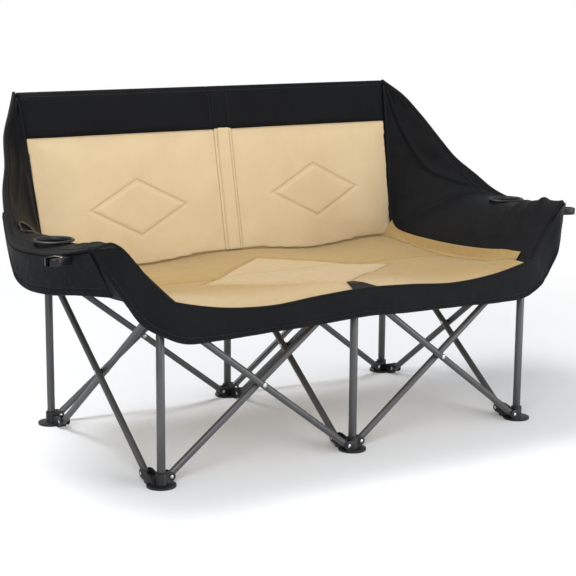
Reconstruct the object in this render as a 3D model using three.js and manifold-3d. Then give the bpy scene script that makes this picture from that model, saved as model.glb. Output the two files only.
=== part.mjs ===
// Folding camping loveseat: six feet, six telescoping legs, seven scissor pairs and a padded fabric sling.
// Millimetres, +Z up, +Y towards the back, +X towards the sitter's left hand as seen from the front right.
// The three columns of legs stand at -columnSpacing, 0 and +columnSpacing; the front row is at y = 0.
import * as THREE from 'three';
import { mergeVertices } from 'three/addons/utils/BufferGeometryUtils.js';
import Module from 'manifold-3d';

const wasm = await Module();
wasm.setup();

// Driving dimensions of the frame
const columnSpacing = 510;
const sideLugLength = 24;
const depthLugLength = 54;
const rowSpacing = columnSpacing + 2 * (depthLugLength - sideLugLength);
const footPivotHeight = 18;
const hubPivotHeight = 372;
const backTopHeight = 813;
const backLeanDepth = 88;
const backFlareWidth = 38;

// Tubes
const tubeRadius = 8;
const tubeWall = 1.2;
const legRadius = 9.5;
const slideClearance = 0.3;
const planeOffset = 9;
const tubeEndOverhang = 6;
const armBendStart = 24;
const armTipOut = 119;
const armTipUpShare = 0.3084;
const armTipUp = (backTopHeight - hubPivotHeight) * armTipUpShare;

// Plastic feet and hubs
const seatClearance = 0.3;
const socketWall = 3.6;
const basePlateThickness = 5;
const basePlateRadius = 33;
const basePlateRim = 4;
const footSocketHeight = 31;
const legSeatHeight = 6;
const cheekThickness = 3.2;
const cheekClearance = 0.6;
const cheekRadius = 10.5;
const lugRootStart = 5;
const tubeEndClearance = 13;
const hubSocketDepth = 30;
const hubTopRise = 13;
const armHubTopDrop = 2;
const hubCapWall = 3;
const legTopGap = 4;
const postBottomHeight = 40;

// Pivot pins and the rivets where two tubes cross
const pinRadius = 3;
const pinClearance = 0.1;
const rivetSideClearance = 0.3;
const pinHeadRadius = 5;
const pinHeadThickness = 1.4;
const spacerRadius = 7;

// Fabric
const clothGap = 0.5;
const clothEdge = 6;
const seatEdge = 8;
const seatCrown = 7;
const seatSag = 14;
const seatCornerRise = 18;
const seatCornerRun = 65;
const seatCornerDepth = 120;
const seatSideGap = 18;
const seatHalfWidth = columnSpacing - seatSideGap;
const seatFrontLip = 44;
const seatRearGap = 14;
const seamHalfGap = 0.3;
const backCrown = 9;
const backDiamondCrown = 6;
const backSideLap = 19;
const backHalfWidth = columnSpacing + backSideLap;
const sleeveHalfWidth = 24;
const topBandHeight = 108;
const armReach = 211;
const armCrown = 5;
const valanceThickness = 5;
const skirtThickness = 4;
const skirtDrop = 84;
const seamGap = 0.8;
const glassHolderGap = 0.8;
const wingRise = 5;

// Webbing tab at the front middle of the seat
const tabWidth = 70;
const tabLength = 62;
const tabThickness = 2;
const tabButtonShare = 0.6;
const tabButtonRadius = 7;

// Cup holders and glass holders in the arms
const cupHoleRadius = 40;
const cupRadius = 38;
const cupWall = 2.5;
const cupDepth = 78;
const cupOut = 140;
const cupBack = 225;
const cupRingRadius = 3;
const glassHolderLength = 52;
const glassHolderWidth = 42;
const glassHolderThickness = 16;
const glassHolderBack = 80;
const glassSlotWidth = 12;
const glassSlotDepth = 30;

// Facet counts
const roundSides = 12;
const scissorSides = 8;
const pinSides = 6;
const cheekFacets = 3;
const plateSides = 20;

// A faceted hole whose flats still clear the turning pin
const pinHoleRadius = (pinRadius + pinClearance) / Math.cos(Math.PI / pinSides);

// The scissor triangle shared by all seven pairs: the same run and rise, so the same angle
const scissorRun = columnSpacing - 2 * sideLugLength;
const scissorRise = hubPivotHeight - footPivotHeight;
const scissorAngle = Math.atan2(scissorRun, scissorRise);
const hubPivotMiddle = (footPivotHeight + hubPivotHeight) / 2;

const up = new THREE.Vector3(0, 0, 1);
const columns = { left: -columnSpacing, middle: 0, right: columnSpacing };
const rows = { front: 0, back: rowSpacing };

const black = { color: 0x222326, roughness: 0.95, metalness: 0 };
const tan = { color: 0xdcc49a, roughness: 0.9, metalness: 0 };
const seatTan = { color: 0xc3a56c, roughness: 0.9, metalness: 0 };
const powderCoat = { color: 0x5c5d5e, roughness: 0.45, metalness: 0.6 };
const plastic = { color: 0x1b1b1c, roughness: 0.55, metalness: 0 };
const brightSteel = { color: 0xb8b8b8, roughness: 0.3, metalness: 0.9 };

// Small helpers

const smooth = (value) => {
  const t = THREE.MathUtils.clamp(value, 0, 1);
  return t * t * (3 - 2 * t);
};

const point = (x, y, z) => new THREE.Vector3(x, y, z);

// A closed mesh becomes a solid for joining and cutting
function solid(geometry) {
  const bare = geometry.clone();
  bare.deleteAttribute('normal');
  bare.deleteAttribute('uv');
  const merged = bare.index ? mergeVertices(bare.toNonIndexed()) : mergeVertices(bare);
  return new wasm.Manifold(
    new wasm.Mesh({
      numProp: 3,
      vertProperties: new Float32Array(merged.attributes.position.array),
      triVerts: new Uint32Array(merged.index.array),
    }),
  );
}

function shell(manifold) {
  const mesh = manifold.getMesh();
  const geometry = new THREE.BufferGeometry();
  geometry.setAttribute('position', new THREE.BufferAttribute(mesh.vertProperties, 3));
  geometry.setIndex(new THREE.BufferAttribute(mesh.triVerts, 1));
  return geometry;
}

function joined(geometries) {
  return geometries.map(solid).reduce((sum, next) => sum.add(next));
}

// A cylinder between two points
function rod(from, to, radius, sides) {
  const along = to.clone().sub(from);
  const geometry = new THREE.CylinderGeometry(radius, radius, along.length(), sides);
  const turn = new THREE.Quaternion().setFromUnitVectors(point(0, 1, 0), along.clone().normalize());
  geometry.applyQuaternion(turn);
  const middle = from.clone().add(to).multiplyScalar(0.5);
  return geometry.translate(middle.x, middle.y, middle.z);
}

function box(low, high) {
  const size = high.clone().sub(low);
  const middle = low.clone().add(high).multiplyScalar(0.5);
  return new THREE.BoxGeometry(size.x, size.y, size.z).translate(middle.x, middle.y, middle.z);
}

// Triangles of a closed skin, from rows of points that each run round a closed ring
function skinOfRings(rings) {
  const count = rings[0].length;
  const positions = rings.flat().flatMap((p) => [p.x, p.y, p.z]);
  const triangles = [];
  for (let i = 0; i < rings.length; i++) {
    const next = ((i + 1) % rings.length) * count;
    for (let j = 0; j < count; j++) {
      const side = (j + 1) % count;
      triangles.push(i * count + j, i * count + side, next + side);
      triangles.push(i * count + j, next + side, next + j);
    }
  }
  const geometry = new THREE.BufferGeometry();
  geometry.setAttribute('position', new THREE.Float32BufferAttribute(positions, 3));
  geometry.setIndex(triangles);
  return facingOut(geometry);
}

function facingOut(geometry) {
  const at = geometry.attributes.position;
  const index = geometry.index.array;
  let volume = 0;
  for (let i = 0; i < index.length; i += 3) {
    const [a, b, c] = [0, 1, 2].map((k) => point(0, 0, 0).fromBufferAttribute(at, index[i + k]));
    volume += a.dot(b.cross(c));
  }
  if (volume < 0) {
    for (let i = 0; i < index.length; i += 3) {
      [index[i], index[i + 1]] = [index[i + 1], index[i]];
    }
  }
  return geometry;
}

// A tube with an open bore along a path that may bend: rings go up the outside and back down the bore
function pipe(path, outer, wall, sides) {
  const ring = (radius, i) => {
    const before = path[Math.max(i - 1, 0)];
    const after = path[Math.min(i + 1, path.length - 1)];
    const along = after.clone().sub(before).normalize();
    const turn = new THREE.Quaternion().setFromUnitVectors(up, along);
    return Array.from({ length: sides }, (_, k) => {
      const angle = (k / sides) * 2 * Math.PI;
      const edge = point(radius * Math.cos(angle), radius * Math.sin(angle), 0);
      return edge.applyQuaternion(turn).add(path[i]);
    });
  };
  const outside = path.map((_, i) => ring(outer, i));
  const inside = path.map((_, i) => ring(outer - wall, i)).reverse();
  return skinOfRings([...outside, ...inside]);
}

// A padded sheet: the base surface at(u, v), thickened along its normal by thickness(u, v)
function paddedSheet(at, thickness, across, along, side = 1) {
  const step = 1e-3;
  const normal = (u, v) => {
    const du = at(u + step, v).sub(at(u - step, v));
    const dv = at(u, v + step).sub(at(u, v - step));
    return du.cross(dv).normalize().multiplyScalar(side);
  };
  const rings = [];
  for (const v of along) {
    const lower = across.map((u) => at(u, v));
    const upper = across.map((u) => at(u, v).addScaledVector(normal(u, v), thickness(u, v)));
    rings.push([...lower, ...upper.reverse()]);
  }
  return cappedSkin(rings);
}

// As skinOfRings, but open at both ends: each end ring, folded flat, is closed by a strip
function cappedSkin(rings) {
  const count = rings[0].length;
  const half = count / 2;
  const positions = rings.flat().flatMap((p) => [p.x, p.y, p.z]);
  const triangles = [];
  for (let i = 0; i + 1 < rings.length; i++) {
    for (let j = 0; j < count; j++) {
      const side = (j + 1) % count;
      triangles.push(i * count + j, i * count + side, (i + 1) * count + side);
      triangles.push(i * count + j, (i + 1) * count + side, (i + 1) * count + j);
    }
  }
  const strip = (start, flip) => {
    for (let j = 0; j + 1 < half; j++) {
      const quad = [start + j, start + j + 1, start + count - 2 - j, start + count - 1 - j];
      const [a, b, c, d] = flip ? quad.reverse() : quad;
      triangles.push(a, c, b, a, d, c);
    }
  };
  strip(0, false);
  strip((rings.length - 1) * count, true);
  const geometry = new THREE.BufferGeometry();
  geometry.setAttribute('position', new THREE.Float32BufferAttribute(positions, 3));
  geometry.setIndex(triangles);
  return facingOut(geometry);
}

// Evenly spaced values from low to high
const steps = (low, high, count) =>
  Array.from({ length: count + 1 }, (_, i) => low + ((high - low) * i) / count);

const loveseat = new THREE.Group();
loveseat.name = 'folding_camping_loveseat';

function add(name, geometry, finish) {
  geometry.computeVertexNormals();
  const mesh = new THREE.Mesh(geometry, new THREE.MeshStandardMaterial(finish));
  mesh.name = name;
  loveseat.add(mesh);
  return mesh;
}

// Lugs: two cheeks on one side of the post's plane, with the pin across them

// direction points away from the post, lateral is the pin's axis, offset is the tube's plane
// run is how far the cheeks' flat underside goes before it rises to the rounded end
function lug(centre, direction, reach, offset, pivotHeight, rootTop, rootBottom, cheekBottom, run) {
  const lateral = point(-direction.y, direction.x, 0);
  const sign = offset.dot(lateral) > 0 ? 1 : -1;
  const place = new THREE.Matrix4().makeBasis(direction, up, lateral.clone().negate());
  const shift = new THREE.Matrix4().makeTranslation(centre.x, centre.y, 0);
  const half = tubeRadius + cheekClearance;
  const pieces = [];
  for (const inner of [-half - cheekThickness, half]) {
    const outline = new THREE.Shape();
    outline.moveTo(lugRootStart, cheekBottom);
    outline.lineTo(Math.min(run, reach), cheekBottom);
    outline.absarc(reach, pivotHeight, cheekRadius, -Math.PI / 2, Math.PI / 2, false);
    outline.lineTo(reach - tubeEndClearance, pivotHeight + cheekRadius);
    outline.lineTo(lugRootStart, rootTop);
    outline.closePath();
    const cheek = new THREE.ExtrudeGeometry(outline, {
      depth: cheekThickness,
      bevelEnabled: false,
      curveSegments: cheekFacets,
    });
    cheek.translate(0, 0, inner - sign * planeOffset);
    pieces.push(cheek.applyMatrix4(place).applyMatrix4(shift));
  }
  const root = box(
    point(lugRootStart, rootBottom, -half - cheekThickness - sign * planeOffset),
    point(reach - tubeEndClearance, rootTop, half + cheekThickness - sign * planeOffset),
  );
  pieces.push(root.applyMatrix4(place).applyMatrix4(shift));
  const pivot = centre.clone().addScaledVector(direction, reach);
  pivot.addScaledVector(lateral, sign * planeOffset);
  pivot.z = pivotHeight;
  const outerHalf = half + cheekThickness;
  const head = outerHalf + pinHeadThickness;
  const at = (distance) => pivot.clone().addScaledVector(lateral, distance);
  pieces.push(rod(at(-outerHalf), at(outerHalf), pinRadius, pinSides));
  pieces.push(rod(at(-head), at(-outerHalf), pinHeadRadius, pinSides));
  pieces.push(rod(at(outerHalf), at(head), pinHeadRadius, pinSides));
  return pieces;
}

// Which way each post's lugs point: towards its neighbours in the row, and towards the other row
function lugDirections(side, row) {
  const sideways = { left: [1], middle: [-1, 1], right: [-1] }[side];
  return { sideways, depthwise: row === 'front' ? 1 : -1 };
}

// Tubes that rise to the left run in front of their row's plane, the others behind it.
// Tubes that rise to the back run on the left of their column's plane, the others on the right.
const rowPlane = (risesRight) => (risesRight ? planeOffset : -planeOffset);
const columnPlane = (risesBack) => (risesBack ? -planeOffset : planeOffset);

function allLugs(side, row, isHub, heights) {
  const centre = point(columns[side], rows[row], 0);
  const { sideways, depthwise } = lugDirections(side, row);
  const pieces = [];
  for (const way of sideways) {
    const risesRight = isHub ? way < 0 : way > 0;
    const offset = point(0, rowPlane(risesRight), 0);
    pieces.push(...lug(centre, point(way, 0, 0), sideLugLength, offset, ...heights));
  }
  const risesBack = isHub ? depthwise < 0 : depthwise > 0;
  const offset = point(columnPlane(risesBack), 0, 0);
  pieces.push(...lug(centre, point(0, depthwise, 0), depthLugLength, offset, ...heights));
  return pieces;
}

function foot(side, row) {
  const centre = point(columns[side], rows[row], 0);
  const base = rod(centre, centre.clone().setZ(basePlateThickness), basePlateRadius, plateSides);
  const socketRadius = legRadius + slideClearance + socketWall;
  const socket = rod(centre, centre.clone().setZ(footSocketHeight), socketRadius, roundSides);
  const flatRun = basePlateRadius - basePlateRim;
  const heights = [footPivotHeight, footPivotHeight, 0, basePlateThickness / 2, flatRun];
  const body = joined([base, socket, ...allLugs(side, row, false, heights)]);
  const bore = rod(
    centre.clone().setZ(legSeatHeight),
    centre.clone().setZ(footSocketHeight + socketWall),
    legRadius + slideClearance,
    roundSides,
  );
  return shell(body.subtract(solid(bore)));
}

function hub(side, row) {
  const centre = point(columns[side], rows[row], 0);
  const underArm = row === 'front' && side !== 'middle';
  const top = underArm ? hubPivotHeight - armHubTopDrop : hubPivotHeight + hubTopRise;
  const bottom = hubPivotHeight - hubSocketDepth;
  const socketRadius = tubeRadius + slideClearance + socketWall;
  const socket = rod(centre.clone().setZ(bottom), centre.clone().setZ(top), socketRadius, roundSides);
  const rootTop = hubPivotHeight - armHubTopDrop;
  const cheekBottom = bottom + socketWall;
  const heights = [hubPivotHeight, rootTop, cheekBottom, cheekBottom, tubeEndClearance];
  const body = joined([socket, ...allLugs(side, row, true, heights)]);
  const boreTop = row === 'front' ? top - hubCapWall : top + socketWall;
  const bore = rod(
    centre.clone().setZ(bottom - socketWall),
    centre.clone().setZ(boreTop),
    tubeRadius + slideClearance,
    roundSides,
  );
  return shell(body.subtract(solid(bore)));
}

function leg(side, row) {
  const centre = point(columns[side], rows[row], 0);
  const top = hubPivotHeight - hubSocketDepth - legTopGap;
  const path = [centre.clone().setZ(legSeatHeight + seatClearance), centre.clone().setZ(top)];
  return pipe(path, legRadius, legRadius - tubeRadius - slideClearance, roundSides);
}

function frontPost(side) {
  const centre = point(columns[side], 0, 0);
  const underArm = side !== 'middle';
  const hubTop = underArm ? hubPivotHeight - armHubTopDrop : hubPivotHeight + hubTopRise;
  const top = hubTop - hubCapWall - seatClearance;
  const path = [centre.clone().setZ(postBottomHeight), centre.clone().setZ(top)];
  return pipe(path, tubeRadius, tubeWall, roundSides);
}

// The back posts bend above the hub and lean back; the outer ones also flare outwards
const bendHeight = hubPivotHeight + hubTopRise + socketWall;
const postTopHeight = backTopHeight - 2 * tubeRadius;
const postLeanShare = backLeanDepth / (backTopHeight - bendHeight);
const postFlareShare = backFlareWidth / (backTopHeight - bendHeight);
const postY = (height) => rowSpacing + Math.max(height - bendHeight, 0) * postLeanShare;
const postFlare = (height) => Math.max(height - bendHeight, 0) * postFlareShare;

function backPost(side) {
  const outward = Math.sign(columns[side]);
  const at = (height) => point(columns[side] + outward * postFlare(height), postY(height), height);
  const bendRadius = 3 * tubeRadius;
  const path = [at(postBottomHeight), at(bendHeight - tubeRadius / 2)];
  path.push(at(bendHeight + bendRadius / 2), at(bendHeight + bendRadius));
  path.push(at(postTopHeight));
  return pipe(path, tubeRadius, tubeWall, roundSides);
}

// Scissor tubes

function scissorTube(from, to, pinAxis, pastHub) {
  const along = to.clone().sub(from).normalize();
  const start = from.clone().addScaledVector(along, -tubeEndOverhang);
  const path = [start];
  if (pastHub) {
    const bend = to.clone().addScaledVector(along, armBendStart);
    path.push(bend.clone().addScaledVector(along, -tubeRadius / 2));
    path.push(bend.clone().lerp(pastHub, tubeRadius / (2 * armTipOut)));
    path.push(pastHub);
  } else {
    path.push(to.clone().addScaledVector(along, tubeEndOverhang));
  }
  let body = solid(pipe(path, tubeRadius, tubeWall, scissorSides));
  const middle = from.clone().add(to).multiplyScalar(0.5);
  for (const pivot of [from, middle, to]) {
    const cut = rod(
      pivot.clone().addScaledVector(pinAxis, -2 * tubeRadius),
      pivot.clone().addScaledVector(pinAxis, 2 * tubeRadius),
      pinHoleRadius,
      pinSides,
    );
    body = body.subtract(solid(cut));
  }
  return shell(body);
}

function crossRivet(centre, axis) {
  const at = (distance) => centre.clone().addScaledVector(axis, distance);
  const outer = planeOffset + tubeRadius + rivetSideClearance;
  const head = outer + pinHeadThickness;
  const spacer = planeOffset - tubeRadius - rivetSideClearance;
  const pieces = [rod(at(-head), at(head), pinRadius, pinSides)];
  pieces.push(rod(at(-head), at(-outer), pinHeadRadius, scissorSides));
  pieces.push(rod(at(outer), at(head), pinHeadRadius, scissorSides));
  pieces.push(rod(at(-spacer), at(spacer), spacerRadius, scissorSides));
  return shell(joined(pieces));
}

// A row pair spans two neighbouring columns; arm names the outer hub that the rising tube passes
function rowPair(row, leftSide, rightSide, names, armSide) {
  const y = rows[row];
  const leftFoot = columns[leftSide] + sideLugLength;
  const rightFoot = columns[rightSide] - sideLugLength;
  const axis = point(0, 1, 0);
  for (const risesRight of [true, false]) {
    const plane = y + rowPlane(risesRight);
    const low = point(risesRight ? leftFoot : rightFoot, plane, footPivotHeight);
    const high = point(risesRight ? rightFoot : leftFoot, plane, hubPivotHeight);
    const towards = risesRight ? rightSide : leftSide;
    const way = risesRight ? 1 : -1;
    const tip = point(high.x + way * armTipOut, plane, high.z + armTipUp);
    const name = risesRight ? names.right : names.left;
    add(name, scissorTube(low, high, axis, towards === armSide ? tip : null), powderCoat);
  }
  const centre = point((leftFoot + rightFoot) / 2, y, hubPivotMiddle);
  add(names.rivet, crossRivet(centre, axis), brightSteel);
}

function columnPair(side) {
  const x = columns[side];
  const frontPivot = depthLugLength;
  const backPivot = rowSpacing - depthLugLength;
  const axis = point(1, 0, 0);
  for (const risesBack of [true, false]) {
    const plane = x + columnPlane(risesBack);
    const low = point(plane, risesBack ? frontPivot : backPivot, footPivotHeight);
    const high = point(plane, risesBack ? backPivot : frontPivot, hubPivotHeight);
    const name = `tube_${side}_${risesBack ? 'to_back' : 'to_front'}`;
    add(name, scissorTube(low, high, axis, null), powderCoat);
  }
  add(`rivet_${side}`, crossRivet(point(x, rowSpacing / 2, hubPivotMiddle), axis), brightSteel);
}

for (const row of Object.keys(rows)) {
  for (const side of Object.keys(columns)) {
    add(`foot_${row}_${side}`, foot(side, row), plastic);
    add(`leg_${row}_${side}`, leg(side, row), powderCoat);
    add(`hub_${row}_${side}`, hub(side, row), plastic);
    add(`post_${row}_${side}`, row === 'front' ? frontPost(side) : backPost(side), powderCoat);
  }
}

rowPair('front', 'left', 'middle', {
  left: 'tube_front_left_arm',
  right: 'tube_front_left_cross',
  rivet: 'rivet_front_left',
}, 'left');
rowPair('front', 'middle', 'right', {
  left: 'tube_front_right_cross',
  right: 'tube_front_right_arm',
  rivet: 'rivet_front_right',
}, 'right');
rowPair('back', 'left', 'middle', {
  left: 'tube_back_left_outward',
  right: 'tube_back_left_inward',
  rivet: 'rivet_back_left',
}, null);
rowPair('back', 'middle', 'right', {
  left: 'tube_back_right_inward',
  right: 'tube_back_right_outward',
  rivet: 'rivet_back_right',
}, null);
Object.keys(columns).forEach(columnPair);

// Seat: a sling between the six hubs, in two halves that meet at the cross seam

const seatUnderside = hubPivotHeight + hubTopRise + clothGap;
const seatRearEdge = rowSpacing - seatRearGap;

function seatUnder(x, y) {
  const overHub = Math.cos((Math.PI * x) / columnSpacing) ** 2 * Math.cos((Math.PI * y) / rowSpacing) ** 2;
  const nearSide = smooth((Math.abs(x) - seatHalfWidth + seatCornerRun) / seatCornerRun);
  const nearFront = smooth(1 - Math.max(y, 0) / seatCornerDepth);
  return seatUnderside - seatSag * (1 - overHub) ** 1.5 + seatCornerRise * nearSide * nearFront;
}

const diamond = (x, y, halfWidth, halfDepth) =>
  Math.max(1 - Math.abs(x) / halfWidth - Math.abs(y) / halfDepth, 0);

const seatDiamondWidthShare = 0.55;
const seatDiamondDepthShare = 0.36;

function seatPadding(x, y) {
  const fromSide = smooth((1 - Math.abs(x) / seatHalfWidth) * 6);
  const fromFront = smooth((y + seatFrontLip) / seatFrontLip);
  const fromBack = smooth((seatRearEdge - y) / seatFrontLip);
  const nearEdge = fromSide * fromFront * fromBack;
  const halfWidth = columnSpacing * seatDiamondWidthShare;
  const halfDepth = rowSpacing * seatDiamondDepthShare;
  const raised = Math.min(diamond(x, y - rowSpacing / 2, halfWidth, halfDepth) * 4, 1);
  return seatEdge + seatCrown * nearEdge * (0.6 + 0.4 * raised);
}

const seatTop = (x, y) => seatUnder(x, y) + seatPadding(x, y);

function seatHalf(front, back) {
  const place = (u, v) => [seatHalfWidth * u, front + (back - front) * v];
  const at = (u, v) => {
    const [x, y] = place(u, v);
    return point(x, y, seatUnder(x, y));
  };
  return paddedSheet(at, (u, v) => seatPadding(...place(u, v)), steps(-1, 1, 20), steps(0, 1, 6));
}

const seatMiddle = rowSpacing / 2;
add('seat_front', seatHalf(-seatFrontLip, seatMiddle - seamHalfGap), seatTan);
add('seat_rear', seatHalf(seatMiddle + seamHalfGap, seatRearEdge), seatTan);

// Backrest: two padded panels either side of the sleeve over the middle post, under a plain top band

const backDiamondOutShare = 0.52;
const backDiamondUpShare = 0.3;
const backDiamondWidthShare = 0.27;
const backDiamondHeightShare = 0.17;

function backrest() {
  const height = backTopHeight - seatUnderside - seatEdge;
  const at = (u, v) => {
    const bottom = seatUnder(backHalfWidth * u, seatRearEdge) + seatEdge + seamGap;
    const z = bottom + (backTopHeight - bottom) * v;
    const x = (backHalfWidth + postFlare(z) / 2) * u;
    return point(x, postY(z) - tubeRadius - clothGap, z);
  };
  const thickness = (u, v) => {
    const x = Math.abs(backHalfWidth * u);
    const edge = smooth((1 - Math.abs(u)) * 8) * smooth((1 - v) * 10) * smooth(v * 10);
    const panel = smooth((x - sleeveHalfWidth) / sleeveHalfWidth);
    const band = smooth(Math.abs(1 - v - topBandHeight / height) * 12);
    const raised = diamond(
      x - columnSpacing * backDiamondOutShare,
      height * (v - backDiamondUpShare),
      columnSpacing * backDiamondWidthShare,
      height * backDiamondHeightShare,
    );
    const crown = backCrown * (0.35 + 0.65 * panel) * (0.5 + 0.5 * band);
    return clothEdge + edge * (crown + backDiamondCrown * Math.min(raised * 2, 1));
  };
  return paddedSheet(at, thickness, steps(-1, 1, 22), steps(0, 1, 11));
}

add('backrest', backrest(), tan);

// Arms: a wing that runs from the top corner of the back, down and out, to the tip of the arm tube.
// Each table row gives places along the wing as shares: out of armReach beyond the column,
// back of rowSpacing, and up of the height from the seat to the top of the back.
const wingBaseHeight = hubPivotHeight + hubTopRise + wingRise;
const rimShares = [
  [0.204, 1.149, 1],
  [0.37, 1.053, 0.905],
  [0.517, 0.982, 0.782],
  [0.635, 0.877, 0.627],
  [0.744, 0.807, 0.513],
  [0.853, 0.702, 0.414],
  [0.948, 0.596, 0.32],
  [1, 0.474, 0.272],
  [0.93, 0.298, 0.268],
  [0.84, 0.149, 0.29],
  [0.72, 0.03, 0.33],
];
const outerPanelShares = [
  [0.197, 1.144, 0.99],
  [0.308, 1.084, 0.9],
  [0.393, 1.032, 0.761],
  [0.46, 0.956, 0.582],
  [0.498, 0.904, 0.433],
  [0.531, 0.821, 0.324],
  [0.545, 0.737, 0.262],
  [0.483, 0.605, 0.262],
  [0.47, 0.386, 0.266],
  [0.49, 0.16, 0.3],
  [0.51, -0.03, 0.362],
];
const innerPanelShares = [
  [0.19, 1.138, 0.98],
  [0.237, 1.104, 0.882],
  [0.275, 1.065, 0.733],
  [0.294, 1.016, 0.549],
  [0.284, 0.982, 0.366],
  [0.27, 0.93, 0.229],
  [0.237, 0.86, 0.153],
  [0.166, 0.719, 0.137],
  [0.155, 0.46, 0.137],
  [0.2, 0.19, 0.165],
  [0.235, -0.045, 0.23],
];
const seamShares = [
  [0.18, 1.125, 0.969],
  [0.175, 1.107, 0.875],
  [0.166, 1.084, 0.733],
  [0.147, 1.054, 0.544],
  [0.123, 1.025, 0.355],
  [0.1, 0.998, 0.189],
  [0.057, 0.95, 0.059],
  [-0.005, 0.825, -0.012],
  [-0.012, 0.526, -0.036],
  [-0.016, 0.246, -0.02],
  [-0.055, -0.077, 0.05],
];

function wingPoint([out, back, rise], side) {
  const x = columnSpacing + armReach * out;
  return point(side * x, rowSpacing * back, wingBaseHeight + (backTopHeight - wingBaseHeight) * rise);
}

function wingSurface(side) {
  const tables = [seamShares, innerPanelShares, outerPanelShares, rimShares];
  const curves = tables.map((table) => new THREE.CatmullRomCurve3(table.map((row) => wingPoint(row, side))));
  return (u, v) => {
    const across = new THREE.CatmullRomCurve3(curves.map((curve) => curve.getPoint(v)));
    return across.getPoint(u);
  };
}

function wing(side) {
  const at = wingSurface(side);
  const held = (u, v) => at(THREE.MathUtils.clamp(u, 0, 1), THREE.MathUtils.clamp(v, 0, 1));
  const thickness = (u, v) => {
    const edge = smooth(u * 5) * smooth((1 - u) * 5) * smooth(v * 8) * smooth((1 - v) * 8);
    return clothEdge + armCrown * edge;
  };
  const sheet = solid(paddedSheet(held, thickness, steps(0, 1, 8), steps(0, 1, 18), -side));
  const centre = cupCentre(side);
  const hole = rod(
    centre.clone().setZ(hubPivotHeight),
    centre.clone().setZ(backTopHeight),
    cupHoleRadius,
    roundSides,
  );
  return shell(sheet.subtract(solid(hole)));
}

function cupCentre(side) {
  return point(side * (columnSpacing + cupOut), cupBack, 0);
}

// The height of the arm's top face over the cup hole's rim, found on the wing's own surface
function armTopHeight(side) {
  const at = wingSurface(side);
  const centre = cupCentre(side);
  let height = 0;
  for (const u of steps(0.4, 1, 24)) {
    for (const v of steps(0.5, 1, 40)) {
      const p = at(u, v);
      const off = Math.hypot(p.x - centre.x, p.y - centre.y) - cupHoleRadius;
      height = Math.abs(off) < 2 * cupRingRadius ? Math.max(height, p.z) : height;
    }
  }
  return height + clothEdge + armCrown;
}

function cupRing(side) {
  const centre = cupCentre(side);
  const ring = new THREE.TorusGeometry(cupHoleRadius + cupRingRadius, cupRingRadius, 6, 20);
  return ring.translate(centre.x, centre.y, armTopHeight(side) + cupRingRadius + seamGap);
}

function cupPouch(side) {
  const centre = cupCentre(side);
  const top = armTopHeight(side);
  const bottom = top - cupDepth;
  const outline = [
    new THREE.Vector2(0, bottom),
    new THREE.Vector2(cupRadius - 2 * cupWall, bottom),
    new THREE.Vector2(cupRadius - cupWall, bottom + cupWall),
    new THREE.Vector2(cupRadius, top),
    new THREE.Vector2(cupRadius - cupWall, top),
    new THREE.Vector2(cupRadius - 2 * cupWall, bottom + 2 * cupWall),
    new THREE.Vector2(0, bottom + 2 * cupWall),
  ];
  const cup = new THREE.LatheGeometry(outline, 20);
  cup.rotateX(Math.PI / 2);
  return shell(solid(cup.translate(centre.x, centre.y, 0)));
}

// A side skirt hangs from the rim over the outside of the cup pouch
const skirtDropShares = [0.1, 0.35, 0.9, 1, 1, 1.18];
const skirtTuckShares = [0, 0.04, 0.1, 0.1, 0.3, 0.6];
const skirtStart = 5;

function skirt(side) {
  const rim = rimShares.slice(skirtStart).map((row) => wingPoint(row, side));
  const tops = rim.map((p) => p.clone().add(point(side * clothGap, 0, -seamGap)));
  const bottoms = tops.map((p, i) => {
    const tuck = side * skirtDrop * skirtTuckShares[i];
    return point(p.x - tuck, p.y, p.z - skirtDrop * skirtDropShares[i]);
  });
  const upper = new THREE.CatmullRomCurve3(tops);
  const lower = new THREE.CatmullRomCurve3(bottoms);
  const at = (u, v) => {
    const held = THREE.MathUtils.clamp(v, 0, 1);
    return lower.getPoint(held).lerp(upper.getPoint(held), u);
  };
  return paddedSheet(at, () => skirtThickness, steps(0, 1, 3), steps(0, 1, 12), side);
}

// Glass holder: a block outside the rim with a slot for the stem of a glass, open at its outer end
function glassHolder(side) {
  const rim = new THREE.CatmullRomCurve3(rimShares.slice(skirtStart).map((row) => wingPoint(row, 1)));
  const places = steps(0, 1, 60);
  const off = (t) => Math.abs(rim.getPoint(t).y - glassHolderBack);
  const nearest = places.reduce((best, t) => (off(t) < off(best) ? t : best));
  const onRim = rim.getPoint(nearest);
  const along = rim.getTangent(nearest).setZ(0).normalize();
  const outward = point(-along.y, along.x, 0);
  const half = glassHolderWidth / 2;
  const slotHalf = glassSlotWidth / 2;
  const outer = glassHolderLength;
  const slotEnd = outer - glassSlotDepth;
  const mouth = Math.asin(slotHalf / half);
  const outline = new THREE.Shape();
  outline.moveTo(0, -half);
  outline.lineTo(outer - half, -half);
  outline.absarc(outer - half, 0, half, -Math.PI / 2, -mouth, false);
  outline.absarc(slotEnd, 0, slotHalf, 1.5 * Math.PI, Math.PI / 2, true);
  outline.absarc(outer - half, 0, half, mouth, Math.PI / 2, false);
  outline.lineTo(0, half);
  outline.closePath();
  const block = new THREE.ExtrudeGeometry(outline, {
    depth: glassHolderThickness,
    bevelEnabled: false,
    curveSegments: 6,
  });
  const start = onRim.addScaledVector(outward, skirtThickness + glassHolderGap);
  const place = new THREE.Matrix4().makeBasis(outward, along.negate(), up);
  place.setPosition(start.x, start.y, start.z - glassHolderThickness);
  const geometry = facingOut(shell(solid(block.applyMatrix4(place))));
  return side > 0 ? geometry : facingOut(geometry.applyMatrix4(new THREE.Matrix4().makeScale(-1, 1, 1)));
}

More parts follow.
